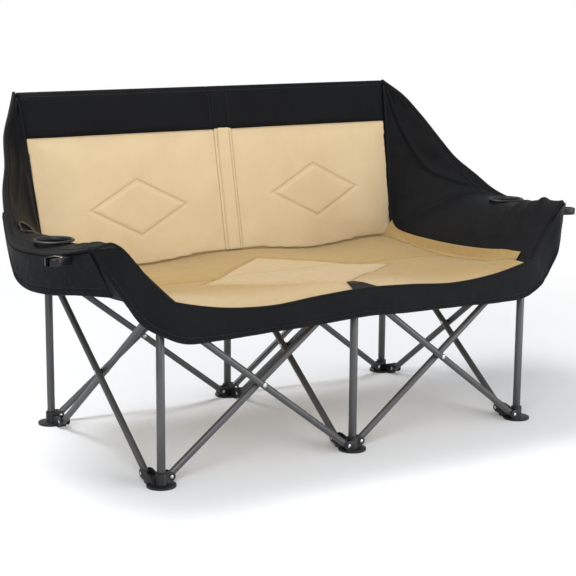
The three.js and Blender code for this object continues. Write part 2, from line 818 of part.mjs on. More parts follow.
for (const [side, name] of [[-1, 'left'], [1, 'right']]) {
  add(`arm_${name}`, wing(side), black);
  add(`skirt_${name}`, skirt(side), black);
  add(`cup_ring_${name}`, shell(solid(cupRing(side))), plastic);
  add(`cup_pouch_${name}`, cupPouch(side), black);
  add(`glass_holder_${name}`, glassHolder(side), plastic);
}

// Front valance: a band in front of the seat that climbs at each end to the tip of the arm.
// Its top edge follows the seat and then the front end of the wing; each row of the table gives
// the lower edge: out (of columnSpacing), and up from the hub pivots (of the height to the top).
const valanceLowShares = [
  [0, -0.0886],
  [0.25, -0.0995],
  [0.5, -0.1046],
  [0.78, -0.1113],
  [0.93, -0.1046],
  [1.03, -0.059],
  [1.11, 0],
  [1.19, 0.1307],
  [1.255, 0.2868],
];
const valanceSeatShares = [0, 0.25, 0.5, 0.75, 0.965];
const valanceWingShares = [0.03, 0.3, 0.64, 0.97];

function valance() {
  const wingEdge = wingSurface(1);
  const seatPart = valanceSeatShares.map((share) => {
    const x = columnSpacing * share;
    return point(x, -seatFrontLip - seamGap, seatUnder(x, -seatFrontLip) + seatEdge - clothGap);
  });
  const wingPart = valanceWingShares.map((u) => wingEdge(u, 1).add(point(0, -seamGap, -seamGap)));
  const tops = [...seatPart, ...wingPart];
  const lows = valanceLowShares.map(([out, rise], i) =>
    point(columnSpacing * out, tops[i].y, hubPivotHeight + (backTopHeight - hubPivotHeight) * rise),
  );
  const whole = (side) => {
    const left = side.slice(1).reverse().map((p) => point(-p.x, p.y, p.z));
    return new THREE.CatmullRomCurve3([...left, ...side]);
  };
  const upper = whole(tops);
  const lower = whole(lows);
  const at = (u, v) => {
    const held = THREE.MathUtils.clamp(v, 0, 1);
    return lower.getPoint(held).lerp(upper.getPoint(held), u);
  };
  return paddedSheet(at, () => valanceThickness, steps(0, 1, 3), steps(0, 1, 36), -1);
}

add('front_valance', valance(), black);

// Webbing tab that ties the front edge of the seat to the middle hub, with its button
function seatTab() {
  const at = (u, v) => {
    const x = tabWidth * (u - 0.5) * (1 - 0.7 * v);
    const y = tabLength * v - seatFrontLip;
    return point(x, y, seatTop(x, y) + clothGap);
  };
  const sheet = paddedSheet(at, () => tabThickness, steps(0, 1, 3), steps(0, 1, 4));
  const middle = at(0.5, tabButtonShare);
  const top = middle.z + tabThickness;
  const button = rod(middle, middle.clone().setZ(top + pinHeadThickness), tabButtonRadius, roundSides);
  return shell(joined([sheet, button]));
}

add('seat_tab', seatTab(), black);

// Stand the loveseat with the middle of its outline over the origin
const extent = new THREE.Box3().setFromObject(loveseat);
loveseat.position.set(-(extent.min.x + extent.max.x) / 2, -(extent.min.y + extent.max.y) / 2, 0);

export default loveseat;
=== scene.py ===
"""Looks of a folding camping loveseat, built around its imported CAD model."""
import math

import bpy
import bmesh
import numpy as np
from mathutils import Matrix, Vector, noise
from mathutils.bvhtree import BVHTree


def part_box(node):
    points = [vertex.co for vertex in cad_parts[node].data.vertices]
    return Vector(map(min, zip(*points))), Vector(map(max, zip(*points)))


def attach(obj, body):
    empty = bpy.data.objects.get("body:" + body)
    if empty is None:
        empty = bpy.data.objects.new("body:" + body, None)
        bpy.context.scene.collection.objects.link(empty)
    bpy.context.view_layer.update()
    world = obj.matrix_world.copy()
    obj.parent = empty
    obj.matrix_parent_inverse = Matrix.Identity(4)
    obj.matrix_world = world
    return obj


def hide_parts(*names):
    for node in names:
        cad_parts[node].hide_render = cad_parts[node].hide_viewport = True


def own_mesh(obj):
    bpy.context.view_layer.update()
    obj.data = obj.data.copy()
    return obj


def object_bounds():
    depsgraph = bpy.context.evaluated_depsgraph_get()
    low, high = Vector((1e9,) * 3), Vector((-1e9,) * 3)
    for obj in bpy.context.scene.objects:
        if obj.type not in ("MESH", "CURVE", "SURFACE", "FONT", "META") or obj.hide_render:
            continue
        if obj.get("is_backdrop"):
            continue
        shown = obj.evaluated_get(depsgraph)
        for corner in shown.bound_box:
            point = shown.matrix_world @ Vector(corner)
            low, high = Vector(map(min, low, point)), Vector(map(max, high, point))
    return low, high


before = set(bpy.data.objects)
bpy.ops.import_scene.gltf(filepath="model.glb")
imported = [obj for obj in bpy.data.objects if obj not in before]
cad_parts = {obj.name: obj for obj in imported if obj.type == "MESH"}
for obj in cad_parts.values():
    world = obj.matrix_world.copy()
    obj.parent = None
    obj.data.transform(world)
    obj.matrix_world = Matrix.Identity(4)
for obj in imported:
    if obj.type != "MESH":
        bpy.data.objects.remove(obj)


def plain(value):
    if isinstance(value, (int, float)):
        return float(value)
    return [plain(part) for part in value]


cad_box = plain(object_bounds())
leg_low, leg_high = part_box("leg_front_middle")
Y0 = (leg_low[1] + leg_high[1]) / 2  # the front row of posts; the columns stand at x = 0 and +-W

# Frame sizes, in metres, as in the CAD
W = 0.510  # between the columns
EX, EY = 0.024, 0.054  # from a post to the pins beside it, across and along
D = W + 2 * (EY - EX)  # between the rows
ZF, ZP = 0.018, 0.372  # heights of the pins in the feet and in the hubs
PLANE = 0.009  # from the posts' plane to each tube of a pair
R_TUBE, R_LEG = 0.008, 0.0095
OVER = 0.006  # how far a tube runs past its pin
TOP = 0.813
HUB_TOP = ZP + 0.013
BEND = HUB_TOP + 0.0036  # where the back posts bend
LEAN = 0.088 / (TOP - BEND)  # how far the back leans behind the posts, for each metre up
FLARE = 0.038 / (TOP - BEND)  # how far the outer back posts spread, for each metre up
POST_TOP = TOP - 2 * R_TUBE
SEAT_Z = HUB_TOP + 0.0005
LIP = 0.044  # how far the seat reaches in front of the posts
REAR = D - 0.014
SEAT_W = 0.492  # half the seat's width
BACK_W = 0.529  # half the back's width
SIDES = {"left": -1, "right": 1}
COLS = {"left": -W, "middle": 0.0, "right": W}
ROWS = {"front": 0.0, "back": D}
DIAMOND_W, DIAMOND_Y, DIAMOND_D = 0.272, 0.232, 0.200  # the diamond sewn in the seat
WING_AREA, SKIRT_AREA, VALANCE_AREA, POUCH_AREA = 0.188, 0.031, 0.098, 0.021  # square metres as cut
UP = Vector((0, 0, 1))


def smooth(t):
    t = min(max(t, 0.0), 1.0)
    return t * t * (3 - 2 * t)


def mix(a, b, t):
    return a + (b - a) * t


def hump(distance, width):
    """1 at no distance, falling to nearly 0 at twice the width."""
    return math.exp(-((distance / width) ** 2))


def wavy(x, y, z):
    """A smooth irregular value from -1 to 1."""
    return noise.noise(Vector((x, y, z)))


def margin(u, v, rates):
    """1 inside a sheet, falling to 0 at its four edges, faster where the rate is higher."""
    a, b, c, d = rates
    return smooth(u * a) * smooth((1 - u) * b) * smooth(v * c) * smooth((1 - v) * d)


def spread(n, low=0.0, high=1.0):
    """The n + 1 values that divide a range evenly."""
    return [low + (high - low) * i / n for i in range(n + 1)]


def at(x, y, z):
    """A place given from the middle column, the front row and the floor."""
    return Vector((x, y + Y0, z))


# Materials


class Nodes:
    """A short way to write a material's nodes."""

    def __init__(self, name):
        self.material = bpy.data.materials.new(name)
        self.material.use_nodes = True
        self.tree = self.material.node_tree
        self.shader = self.tree.nodes["Principled BSDF"]
        self.coords = self.node("ShaderNodeTexCoord").outputs["Object"]

    def node(self, kind, links=None, **values):
        """A new node; each value is a setting of it, or else one of its inputs."""
        made = self.tree.nodes.new(kind)
        for key, value in values.items():
            if hasattr(made, key):
                setattr(made, key, value)
            else:
                made.inputs[key.replace("_", " ").title()].default_value = value
        for key, source in (links or {}).items():
            self.tree.links.new(source, made.inputs[key])
        return made

    def link(self, source, socket):
        self.tree.links.new(source, self.shader.inputs[socket])

    def set(self, **values):
        for key, value in values.items():
            self.shader.inputs[key.replace("_", " ")].default_value = value

    def noise(self, scale, detail=3.0, rough=0.5):
        return self.node("ShaderNodeTexNoise", {"Vector": self.coords}, scale=scale, detail=detail,
                         roughness=rough).outputs["Fac"]

    def ramp(self, source, low, high, places=(0.3, 0.7)):
        made = self.node("ShaderNodeValToRGB", {"Fac": source})
        for i, colour in enumerate((low, high)):
            made.color_ramp.elements[i].position = places[i]
            made.color_ramp.elements[i].color = (*colour, 1)
        return made.outputs["Color"]

    def math(self, kind, a, b=0.0):
        made = self.node("ShaderNodeMath", operation=kind)
        for i, value in enumerate((a, b)):
            if isinstance(value, (int, float)):
                made.inputs[i].default_value = value
            else:
                self.tree.links.new(value, made.inputs[i])
        return made.outputs[0]

    def plus(self, a, b):
        return self.math("ADD", a, b)

    def times(self, a, b):
        return self.math("MULTIPLY", a, b)

    def waves(self, direction, scale):
        return self.node("ShaderNodeTexWave", {"Vector": self.coords}, wave_type="BANDS",
                         bands_direction=direction, scale=scale, distortion=0.3, detail=1.0).outputs["Fac"]

    def bump(self, height, distance, strength, under=None):
        links = {"Height": height} if under is None else {"Height": height, "Normal": under}
        return self.node("ShaderNodeBump", links, strength=strength, distance=distance).outputs["Normal"]

    def step(self, value, low, high):
        """A smooth step from 0 at low to 1 at high."""
        return self.node("ShaderNodeMapRange", {"Value": value}, interpolation_type="SMOOTHSTEP",
                         from_min=low, from_max=high).outputs["Result"]

    def rough(self, value, low, high):
        """Lets the roughness vary from low to high with the value."""
        made = self.node("ShaderNodeMapRange", {"Value": value}, to_min=low, to_max=high)
        self.link(made.outputs["Result"], "Roughness")

    def multiplied(self, colour, tint, share):
        """The colour times the tint, as far as share says."""
        made = self.node("ShaderNodeMix", {0: share, 6: colour}, data_type="RGBA", blend_type="MULTIPLY")
        made.inputs[7].default_value = (*tint, 1)
        return made.outputs[2]


def woven(name, low, high, weave, depth, roughness, sheen, patch=7.0, specular=0.3, shade=None, tint=None,
          soft=0.16):
    """A plain woven cloth: fine threads along each axis, a slight mottle, soft creases and a sheen; shade()
    and tint, where given, paint shade into its colour.
    """
    m = Nodes(name)
    threads = m.times(m.plus(m.waves("X", weave), m.waves("Z", weave)), 0.34)
    threads = m.plus(threads, m.times(m.waves("Y", weave), 0.34))
    slub = m.noise(weave * 1.3, 2.0)
    mottle = m.noise(patch, 4.0, 0.6)
    colour = m.ramp(m.plus(m.times(mottle, 0.6), m.times(slub, 0.4)), low, high, (0.35, 0.65))
    if shade:
        colour = m.multiplied(colour, tint, shade(m))
    m.link(colour, "Base Color")
    creases = m.bump(m.noise(26.0, 3.0, 0.55), 0.004, soft)
    creases = m.bump(m.noise(9.0, 2.0, 0.5), 0.012, soft, creases)
    m.link(m.bump(m.plus(threads, m.times(slub, 0.5)), depth, 0.55, creases), "Normal")
    m.rough(slub, roughness - 0.07, min(roughness + 0.07, 1.0))
    m.set(Sheen_Weight=sheen, Sheen_Roughness=0.45, Specular_IOR_Level=specular)
    return m.material


def hard(name, low, high, metallic, roughness, grain, depth, specular=0.5):
    """A metal or plastic with a fine fleck and slow changes of tone and roughness."""
    m = Nodes(name)
    fleck = m.noise(grain, 3.0, 0.6)
    wear = m.noise(9.0, 4.0, 0.6)
    m.link(m.ramp(m.plus(m.times(fleck, 0.5), m.times(wear, 0.5)), low, high), "Base Color")
    m.link(m.bump(fleck, depth, 0.3), "Normal")
    m.rough(wear, roughness - 0.06, roughness + 0.08)
    m.set(Metallic=metallic, Specular_IOR_Level=specular)
    return m.material


def seat_painted_shade(m):
    """Painted shade: darkens the seat's colour outside the diamond and away from the front edge."""
    split = m.node("ShaderNodeSeparateXYZ", {"Vector": m.coords})
    x = split.outputs["X"]
    y = m.math("SUBTRACT", split.outputs["Y"], Y0)
    across = m.math("DIVIDE", m.math("ABSOLUTE", x), DIAMOND_W)
    deep = m.math("DIVIDE", m.math("ABSOLUTE", m.math("SUBTRACT", y, DIAMOND_Y)), DIAMOND_D)
    outside = m.step(m.plus(across, deep), 0.96, 1.03)
    behind = m.step(m.plus(y, m.times(x, 0.20)), -0.02, 0.13)
    return m.times(outside, behind)


# Each look is a material and the record's slot that it belongs to
BLACK = woven("black_polyester", (0.0012, 0.0014, 0.0022), (0.0040, 0.0046, 0.0062), 520.0, 0.0005,
              0.54, 0.010, specular=0.118, soft=0.42), "black_fabric"
BINDING = woven("black_binding", (0.0014, 0.0015, 0.0018), (0.0036, 0.0037, 0.0044), 640.0, 0.0006,
                0.5, 0.012, specular=0.16), "black_fabric"
TAN = woven("tan_polyester", (0.590, 0.447, 0.262), (0.682, 0.540, 0.336), 620.0, 0.0003, 0.85, 0.22,
            5.0), "back_fabric"
# The seat's colour holds painted shade, darker outside the diamond and towards the back
SEAT = woven("tan_seat_polyester_painted_shade", (0.405, 0.283, 0.134), (0.475, 0.344, 0.173), 560.0, 0.0004, 0.9,
             0.2, 90.0, shade=seat_painted_shade, tint=(0.77, 0.69, 0.38)), "seat_fabric"
# A darker copy of the seat's cloth: painted shade on the seat's sides and on the strips below and behind it
SEAT_SHADED = woven("tan_seat_side_painted_shade", (0.322, 0.212, 0.076), (0.378, 0.254, 0.096), 560.0, 0.0004, 0.9,
                  0.2, 90.0), "seat_fabric"
SEAT_THREAD = woven("tan_thread", (0.30, 0.19, 0.075), (0.42, 0.28, 0.12), 900.0, 0.0003, 0.7,
                    0.2), "seat_fabric"
BLACK_THREAD = woven("black_thread", (0.016, 0.016, 0.018), (0.030, 0.030, 0.033), 900.0, 0.0003, 0.6,
                     0.1), "black_fabric"
COAT = hard("grey_powder_coat", (0.070, 0.070, 0.072), (0.105, 0.105, 0.108), 0.55, 0.38, 900.0,
            0.0002), "powder_coated_steel"
PLASTIC = hard("black_moulded_plastic", (0.007, 0.007, 0.008), (0.014, 0.014, 0.016), 0.0, 0.44, 1400.0,
               0.0002, 0.35), "black_plastic"
GLOSS = hard("black_gloss_plastic", (0.006, 0.006, 0.007), (0.011, 0.011, 0.012), 0.0, 0.26, 1400.0,
             0.0001, 0.3), "black_plastic"
STEEL = hard("plated_steel", (0.45, 0.45, 0.46), (0.62, 0.62, 0.62), 0.95, 0.28, 400.0,
             0.0001), "rivet_steel"
# The back's foot strip takes the same darker cloth, painted shade
BACK_SHADED = SEAT_SHADED[0], "back_fabric"
BACK_THREAD = SEAT_THREAD[0], "back_fabric"

# Meshes


def edit_mesh(obj, change):
    bm = bmesh.new()
    bm.from_mesh(obj.data)
    change(bm)
    bm.to_mesh(obj.data)
    bm.free()


def fix_normals(obj):
    edit_mesh(obj, lambda bm: bmesh.ops.recalc_face_normals(bm, faces=bm.faces))


def sharpen(obj, angle=40.0):
    """Smooth shading with hard edges where faces meet at more than the angle."""

    def mark(bm):
        for edge in bm.edges:
            if len(edge.link_faces) == 2:
                edge.smooth = edge.calc_face_angle(0.0) < math.radians(angle)

    edit_mesh(obj, mark)


def finish_faces(obj, material):
    """One material and smooth shading on every face."""
    obj.data.materials.clear()
    obj.data.materials.append(material)
    obj.data.polygons.foreach_set("use_smooth", [True] * len(obj.data.polygons))


def linked(name, data):
    """A new object in the scene with this mesh, light or camera."""
    obj = bpy.data.objects.new(name, data)
    bpy.context.collection.objects.link(obj)
    return obj


def mesh_of(name, shape):
    mesh = bpy.data.meshes.new(name)
    mesh.from_pydata([tuple(v) for v in shape[0]], [], shape[1])
    return mesh


def mesh_piece(name, shape, look, body):
    """A visible piece from a shape, which is its points and faces."""
    material, slot = look
    mesh = mesh_of(name, shape)
    mesh.validate()
    obj = linked(name, mesh)
    fix_normals(obj)
    finish_faces(obj, material)
    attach(obj, body)
    return obj


def stand_in(node, shape, look, body, angle=40.0):
    """A hard piece shown in place of a CAD node."""
    piece = mesh_piece(node + "_look", shape, look, body)
    sharpen(piece, angle)
    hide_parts(node)


def apply_modifiers(obj):
    graph = bpy.context.evaluated_depsgraph_get()
    made = bpy.data.meshes.new_from_object(obj.evaluated_get(graph))
    obj.modifiers.clear()
    obj.data = made


def sheet_grid(base, normal, low, high, us, vs):
    """A closed sheet off base(u, v), from low to high along normal; all three are values or rules."""
    normal, low, high = (x if callable(x) else (lambda u, v, x=x: x) for x in (normal, low, high))
    nu, nv = len(us), len(vs)
    half = nu * nv
    verts = [base(u, v) + normal(u, v) * height(u, v) for height in (low, high) for v in vs for u in us]
    faces = []
    for j in range(nv - 1):
        for i in range(nu - 1):
            a = j * nu + i
            quad = (a, a + 1, a + nu + 1, a + nu)
            faces.append(quad)
            faces.append(tuple(half + k for k in reversed(quad)))
    rims = [(j * nu + i, j * nu + i + 1) for i in range(nu - 1) for j in (0, nv - 1)]
    rims += [(j * nu + i, (j + 1) * nu + i) for j in range(nv - 1) for i in (0, nu - 1)]
    return verts, faces + [(a, b, half + b, half + a) for a, b in rims]


def numeric_normal(base, sign=1.0):
    """The normal of the surface base(u, v), from small steps in u and v."""
    step = 1e-3

    def normal(u, v):
        u0, u1 = max(u - step, 0.0), min(u + step, 1.0)
        v0, v1 = max(v - step, 0.0), min(v + step, 1.0)
        du = base(u1, v) - base(u0, v)
        dv = base(u, v1) - base(u, v0)
        return du.cross(dv).normalized() * sign

    return normal


def edge_line(base, normal, u, vs, lift):
    """Points along a sheet at one u, lifted along its normal there."""

    def near(t):
        return min(max(t, 0.001), 0.999)

    return [base(u, v) + normal(near(u), near(v)) * lift for v in vs]


def tube_mesh(path, radius, sides=28, closed=False):
    """A round tube along points; radius may be a list."""
    path = [Vector(p) for p in path]
    count = len(path)
    radii = radius if isinstance(radius, (list, tuple)) else [radius] * count
    tangents = []
    for i in range(count):
        before = path[(i - 1) % count] if closed or i else path[i]
        after = path[(i + 1) % count] if closed or i < count - 1 else path[i]
        tangents.append((after - before).normalized())
    across = tangents[0].orthogonal().normalized()
    verts, faces = [], []
    for i in range(count):
        if i:
            across = across - tangents[i] * across.dot(tangents[i])
            across.normalize()
        other = tangents[i].cross(across).normalized()
        for k in range(sides):
            angle = 2 * math.pi * k / sides
            verts.append(path[i] + (across * math.cos(angle) + other * math.sin(angle)) * radii[i])
    for i in range(count if closed else count - 1):
        for k in range(sides):
            a, b = i * sides + k, i * sides + (k + 1) % sides
            c, d = ((i + 1) % count) * sides + (k + 1) % sides, ((i + 1) % count) * sides + k
            faces.append((a, b, c, d))
    if not closed:
        faces.append(tuple(range(sides - 1, -1, -1)))
        faces.append(tuple(range((count - 1) * sides, count * sides)))
    return verts, faces


def turned(profile, centre, closed, radius=lambda r, z, angle: r):
    """A profile of radii and heights turned about an upright line; a closed one joins its two ends."""
    n, steps = len(profile), 72
    verts, faces = [], []
    for k in range(steps):
        angle = 2 * math.pi * k / steps
        after = (k + 1) % steps
        for i, (r, z) in enumerate(profile):
            r = radius(r, z, angle)
            verts.append(Vector((centre[0] + r * math.cos(angle), centre[1] + r * math.sin(angle), z)))
            if closed or i < n - 1:
                j = (i + 1) % n
                faces.append((k * n + i, after * n + i, after * n + j, k * n + j))
    if not closed:
        faces.append(tuple(k * n for k in range(steps)))
        faces.append(tuple(k * n + n - 1 for k in reversed(range(steps))))
    return verts, faces


def join_parts(parts):
    verts, faces = [], []
    for part_verts, part_faces in parts:
        start = len(verts)
        verts += list(part_verts)
        faces += [tuple(i + start for i in face) for face in part_faces]
    return verts, faces


def catmull(points, t):
    """Centripetal Catmull-Rom, the same curve as the CAD uses."""
    last = len(points) - 1
    place = last * min(max(t, 0.0), 1.0)
    i = min(int(place), last - 1)
    w = place - i
    p1, p2 = points[i], points[i + 1]
    p0 = points[i - 1] if i > 0 else p1 * 2 - p2
    p3 = points[i + 2] if i + 2 <= last else p2 * 2 - p1
    d0, d1, d2 = ((b - a).length ** 0.5 for a, b in ((p0, p1), (p1, p2), (p2, p3)))
    d1 = d1 if d1 > 1e-6 else 1.0
    d0 = d0 if d0 > 1e-6 else d1
    d2 = d2 if d2 > 1e-6 else d1
    t1 = ((p1 - p0) / d0 - (p2 - p0) / (d0 + d1) + (p2 - p1) / d1) * d1
    t2 = ((p2 - p1) / d1 - (p3 - p1) / (d1 + d2) + (p3 - p2) / d2) * d1
    c2 = (p2 - p1) * 3 - t1 * 2 - t2
    c3 = (p1 - p2) * 2 + t1 + t2
    return p1 + t1 * w + c2 * (w * w) + c3 * (w * w * w)


# Metal frame


def scissor(node, body, low, high, tip=None):
    """A tube between two pins with a black plug in each end; an arm tube bends and runs on to its tip."""
    low, high = at(*low), at(*high)
    along = (high - low).normalized()
    start = low - along * OVER
    path = [start + along * 0.0015, start + along * 0.006]
    if tip:
        tip = at(*tip)
        bend = high + along * 0.024
        out = (tip - bend).normalized()
        path += [bend - along * 0.03]
        for k in range(1, 8):
            share = k / 8
            corner = (1 - share) ** 2 * (bend - along * 0.03) + 2 * share * (1 - share) * bend
            path.append(corner + share**2 * (bend + out * 0.03))
        path += [bend + out * 0.03, tip - out * 0.003, tip]
    else:
        end = high + along * OVER
        path += [end - along * 0.006, end - along * 0.0015]
    radii = [R_TUBE * 0.94] + [R_TUBE] * (len(path) - 2) + [R_TUBE * 0.94]
    stand_in(node, tube_mesh(path, radii), COAT, body)
    plugs = []
    for place, way in ((start, -along), (path[-1], (path[-1] - path[-2]).normalized())):
        line = [place + way * d for d in (-0.004, 0.0006, 0.0016)]
        plugs.append(tube_mesh(line, [0.0079, 0.0079, 0.006]))
    sharpen(mesh_piece(node + "_look_plugs", join_parts(plugs), PLASTIC, body))


# Each bay in front and behind has one tube that rises outward and one that rises inward
for row, outward_kind, inward_kind in (("front", "arm", "cross"), ("back", "outward", "inward")):
    for side, way in SIDES.items():
        for rise in (1, -1):
            kind = outward_kind if rise == way else inward_kind
            plane = ROWS[row] + rise * PLANE
            low_x, high_x = min(way, 0) * W + EX, max(way, 0) * W - EX
            if rise < 0:
                low_x, high_x = high_x, low_x
            arm_tip = (high_x + way * 0.119, plane, ZP + 0.136) if kind == "arm" else None
            scissor(f"tube_{row}_{side}_{kind}", f"{row}_{side}_{kind}_tube",
                    (low_x, plane, ZF), (high_x, plane, ZP), arm_tip)
for side, x in COLS.items():
    scissor(f"tube_{side}_to_back", f"{side}_tube_to_back", (x - PLANE, EY, ZF), (x - PLANE, D - EY, ZP))
    scissor(f"tube_{side}_to_front", f"{side}_tube_to_front", (x + PLANE, D - EY, ZF), (x + PLANE, EY, ZP))


def post_y(z):
    return D + max(z - BEND, 0.0) * LEAN


def post_flare(z):
    return max(z - BEND, 0.0) * FLARE


def straight(node, body, x, y, z0, z1, radius):
    path = [at(x, y, z) for z in (z0, z0 + 0.0012, z1 - 0.0012, z1)]
    radii = [radius * 0.93, radius, radius, radius * 0.93]
    stand_in(node, tube_mesh(path, radii, 32), COAT, body)


for row, y in ROWS.items():
    for side, x in COLS.items():
        straight(f"leg_{row}_{side}", f"{row}_{side}_leg", x, y, 0.0063, 0.338, R_LEG)
        if row == "front":
            top = (ZP - 0.002 if side != "middle" else HUB_TOP) - 0.0033
            straight(f"post_{row}_{side}", f"{row}_{side}_hub", x, y, 0.04, top, R_TUBE)
        else:
            way = SIDES.get(side, 0)
            line = [at(x, y, 0.04), at(x, y, BEND - 0.012)]
            for k in range(0, 9):
                z = mix(BEND - 0.008, BEND + 0.03, k / 8)
                ease = max(z - BEND + 0.012, 0) ** 2 / 0.1 if z < BEND + 0.012 else z - BEND
                line.append(at(x + way * FLARE * ease, y + LEAN * ease, z))
            line.append(at(x + way * post_flare(POST_TOP), post_y(POST_TOP), POST_TOP))
            stand_in(f"post_back_{side}", tube_mesh(line, R_TUBE, 32), COAT, f"back_{side}_hub")


def moulded(node, body, look, width=0.0009):
    """The CAD solid with its edges rounded as a moulding's are."""
    piece = linked(node + "_look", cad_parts[node].data.copy())

    def clean(bm):
        bmesh.ops.remove_doubles(bm, verts=bm.verts, dist=1e-6)
        bmesh.ops.dissolve_limit(bm, angle_limit=math.radians(1.0), verts=bm.verts, edges=bm.edges)

    edit_mesh(piece, clean)
    bevel = piece.modifiers.new("edge", "BEVEL")
    bevel.width = width
    bevel.segments = 2
    bevel.limit_method = "ANGLE"
    bevel.angle_limit = math.radians(38)
    bevel.use_clamp_overlap = True
    apply_modifiers(piece)
    finish_faces(piece, look[0])
    sharpen(piece, 32)
    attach(piece, body)
    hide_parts(node)


for row in ROWS:
    for side in COLS:
        moulded(f"foot_{row}_{side}", f"{row}_{side}_leg", PLASTIC)
        moulded(f"hub_{row}_{side}", f"{row}_{side}_hub", PLASTIC, 0.0007)


def rivet(node, body, centre, axis):
    """A domed rivet with a plated washer under each head and a spacer between the tubes."""
    axis = Vector(axis)
    outer = PLANE + R_TUBE + 0.0003
    parts = [tube_mesh([centre - axis * outer, centre + axis * outer], 0.003, 20)]
    for way in (-1, 1):
        path = [centre + axis * way * (outer + d) for d in (0.0, 0.0004, 0.0009, 0.0013, 0.0015)]
        parts.append(tube_mesh(path, [0.0052, 0.0052, 0.0044, 0.0028, 0.0006], 24))
    stand_in(node, join_parts(parts), STEEL, body, 50)
    spacer = tube_mesh([centre - axis * 0.0007, centre + axis * 0.0007], 0.007, 24)
    mesh_piece(node + "_spacer", spacer, PLASTIC, body)


middle_height = (ZF + ZP) / 2
for side, x in COLS.items():
    rivet(f"rivet_{side}", f"{side}_tube_to_front", at(x, D / 2, middle_height), (1, 0, 0))
for side, way in SIDES.items():
    rivet(f"rivet_back_{side}", f"back_{side}_outward_tube", at(way * W / 2, D, middle_height), (0, 1, 0))
    rivet(f"rivet_front_{side}", f"front_{side}_arm_tube", at(way * W / 2, 0, middle_height), (0, 1, 0))


def pin_head(x, y, z, outward):
    centre, outward = at(x, y, z), Vector(outward)
    path = [centre + outward * d for d in (-0.0004, 0.0006, 0.0012, 0.0014)]
    return tube_mesh(path, [0.0042, 0.0042, 0.0032, 0.0006], 20)


# Plated pin heads on both outer faces of each lug
LUG_FACE = 0.0132  # from a tube's plane to each of these faces
for row, y in ROWS.items():
    inward = 1 if row == "front" else -1
    for side, x in COLS.items():
        for end, part, z, turn in (("foot", "leg", ZF, 1), ("hub", "hub", ZP, -1)):
            parts = []
            for way in {"left": [1], "middle": [-1, 1], "right": [-1]}[side]:
                for face in (-1, 1):
                    pin_y = y + turn * way * PLANE + face * LUG_FACE
                    parts.append(pin_head(x + way * EX, pin_y, z, (0, face, 0)))
            for face in (-1, 1):
                pin_x = x - turn * inward * PLANE + face * LUG_FACE
                parts.append(pin_head(pin_x, y + inward * EY, z, (face, 0, 0)))
            name = f"pin_heads_{row}_{side}_{end}"
            sharpen(mesh_piece(name, join_parts(parts), STEEL, f"{row}_{side}_{part}"), 50)

# Cloth

FILL_PRESSURE, FILL_FRAMES = 4.0, 20
FILL_LIMIT = 0.006  # the furthest that filling moves a point
STITCH = 0.0075


def puff(obj, voxel, pinned):
    """Fills a flat pad by cloth simulation, holding the points that pinned() picks."""
    remesh = obj.modifiers.new("voxels", "REMESH")
    remesh.mode = "VOXEL"
    remesh.voxel_size = voxel
    apply_modifiers(obj)
    start = np.array([v.co for v in obj.data.vertices])
    group = obj.vertex_groups.new(name="held")
    group.add([i for i, co in enumerate(start) if pinned(co)], 1.0, "REPLACE")
    cloth = obj.modifiers.new("fill", "CLOTH")
    cloth.settings.quality = 4
    cloth.settings.use_pressure = True
    cloth.settings.uniform_pressure_force = FILL_PRESSURE
    cloth.settings.vertex_group_mass = "held"
    cloth.settings.tension_stiffness = 12
    cloth.settings.compression_stiffness = 12
    cloth.settings.bending_stiffness = 0.4
    cloth.settings.effector_weights.gravity = 0.0
    cloth.collision_settings.use_collision = False
    cloth.collision_settings.use_self_collision = False
    scene = bpy.context.scene
    for number in range(1, FILL_FRAMES + 1):
        scene.frame_set(number)
    apply_modifiers(obj)
    scene.frame_set(1)
    moved = np.array([v.co for v in obj.data.vertices]) - start
    length = np.linalg.norm(moved, axis=1, keepdims=True)
    now = start + moved * np.minimum(1.0, FILL_LIMIT / np.maximum(length, 1e-9))
    obj.data.vertices.foreach_set("co", now.ravel())
    obj.vertex_groups.clear()
    obj.data.update()


def make_pad(pad, look, voxel, pinned, settle):
    """Fills a pad, then lets settle() move each point of its finer mesh."""
    puff(pad, voxel, pinned)
    finer = pad.modifiers.new("sub", "SUBSURF")
    finer.levels = 1
    apply_modifiers(pad)
    places = [settle(v.co.copy(), v.normal.copy()) for v in pad.data.vertices]
    pad.data.vertices.foreach_set("co", np.array(places).ravel())
    pad.data.update()
    finish_faces(pad, look[0])
    squash_x(pad)


def in_steps(path, step):
    """Points at equal steps along a line of points."""
    out, carry = [path[0]], 0.0
    for a, b in zip(path, path[1:]):
        span = (b - a).length
        place = step - carry
        while place <= span:
            out.append(a.lerp(b, place / span))
            place += step
        carry = span - (place - step)
    return out


def surface_tree(obj):
    return BVHTree.FromPolygons([v.co for v in obj.data.vertices], [p.vertices for p in obj.data.polygons])


def laid(tree, point, outward):
    """The surface's outermost place on the line through point along outward."""
    return tree.ray_cast(point + outward * 0.04, -outward, 0.08)[0]


def stitches(name, lines, outward, tree, body, look, squash, radius=0.0006):
    """Short raised stitches along lines of points, laid on the surface below them."""
    parts = []
    for line in lines:
        places = in_steps([Vector(p) for p in line], STITCH)
        for a, b in zip(places, places[1:]):
            n = outward(a) if callable(outward) else outward
            p, q = laid(tree, a, n), laid(tree, a.lerp(b, 0.62), n)
            if p is None or q is None or (p - q).length > STITCH:
                continue
            path = [p - n * radius, p.lerp(q, 0.2) + n * radius * 0.6, p.lerp(q, 0.5) + n * radius,
                    p.lerp(q, 0.8) + n * radius * 0.6, q - n * radius]
            parts.append(tube_mesh(path, [radius * 0.6, radius, radius, radius, radius * 0.6], 6))
    squash(mesh_piece(name, join_parts(parts), look, body))


def cloth(name, shape, look, body, squash, node=None, **facts):
    """A sheet of cloth that may stand for a CAD node; the facts given to it are not used."""
    piece = mesh_piece(name, shape, look, body)
    if node:
        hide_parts(node)
    squash(piece)
    return piece


def bound(name, path, radius, body, squash):
    """A bound or piped edge along a line of points."""
    squash(mesh_piece(name, tube_mesh(path, radius, 14), BINDING, body))


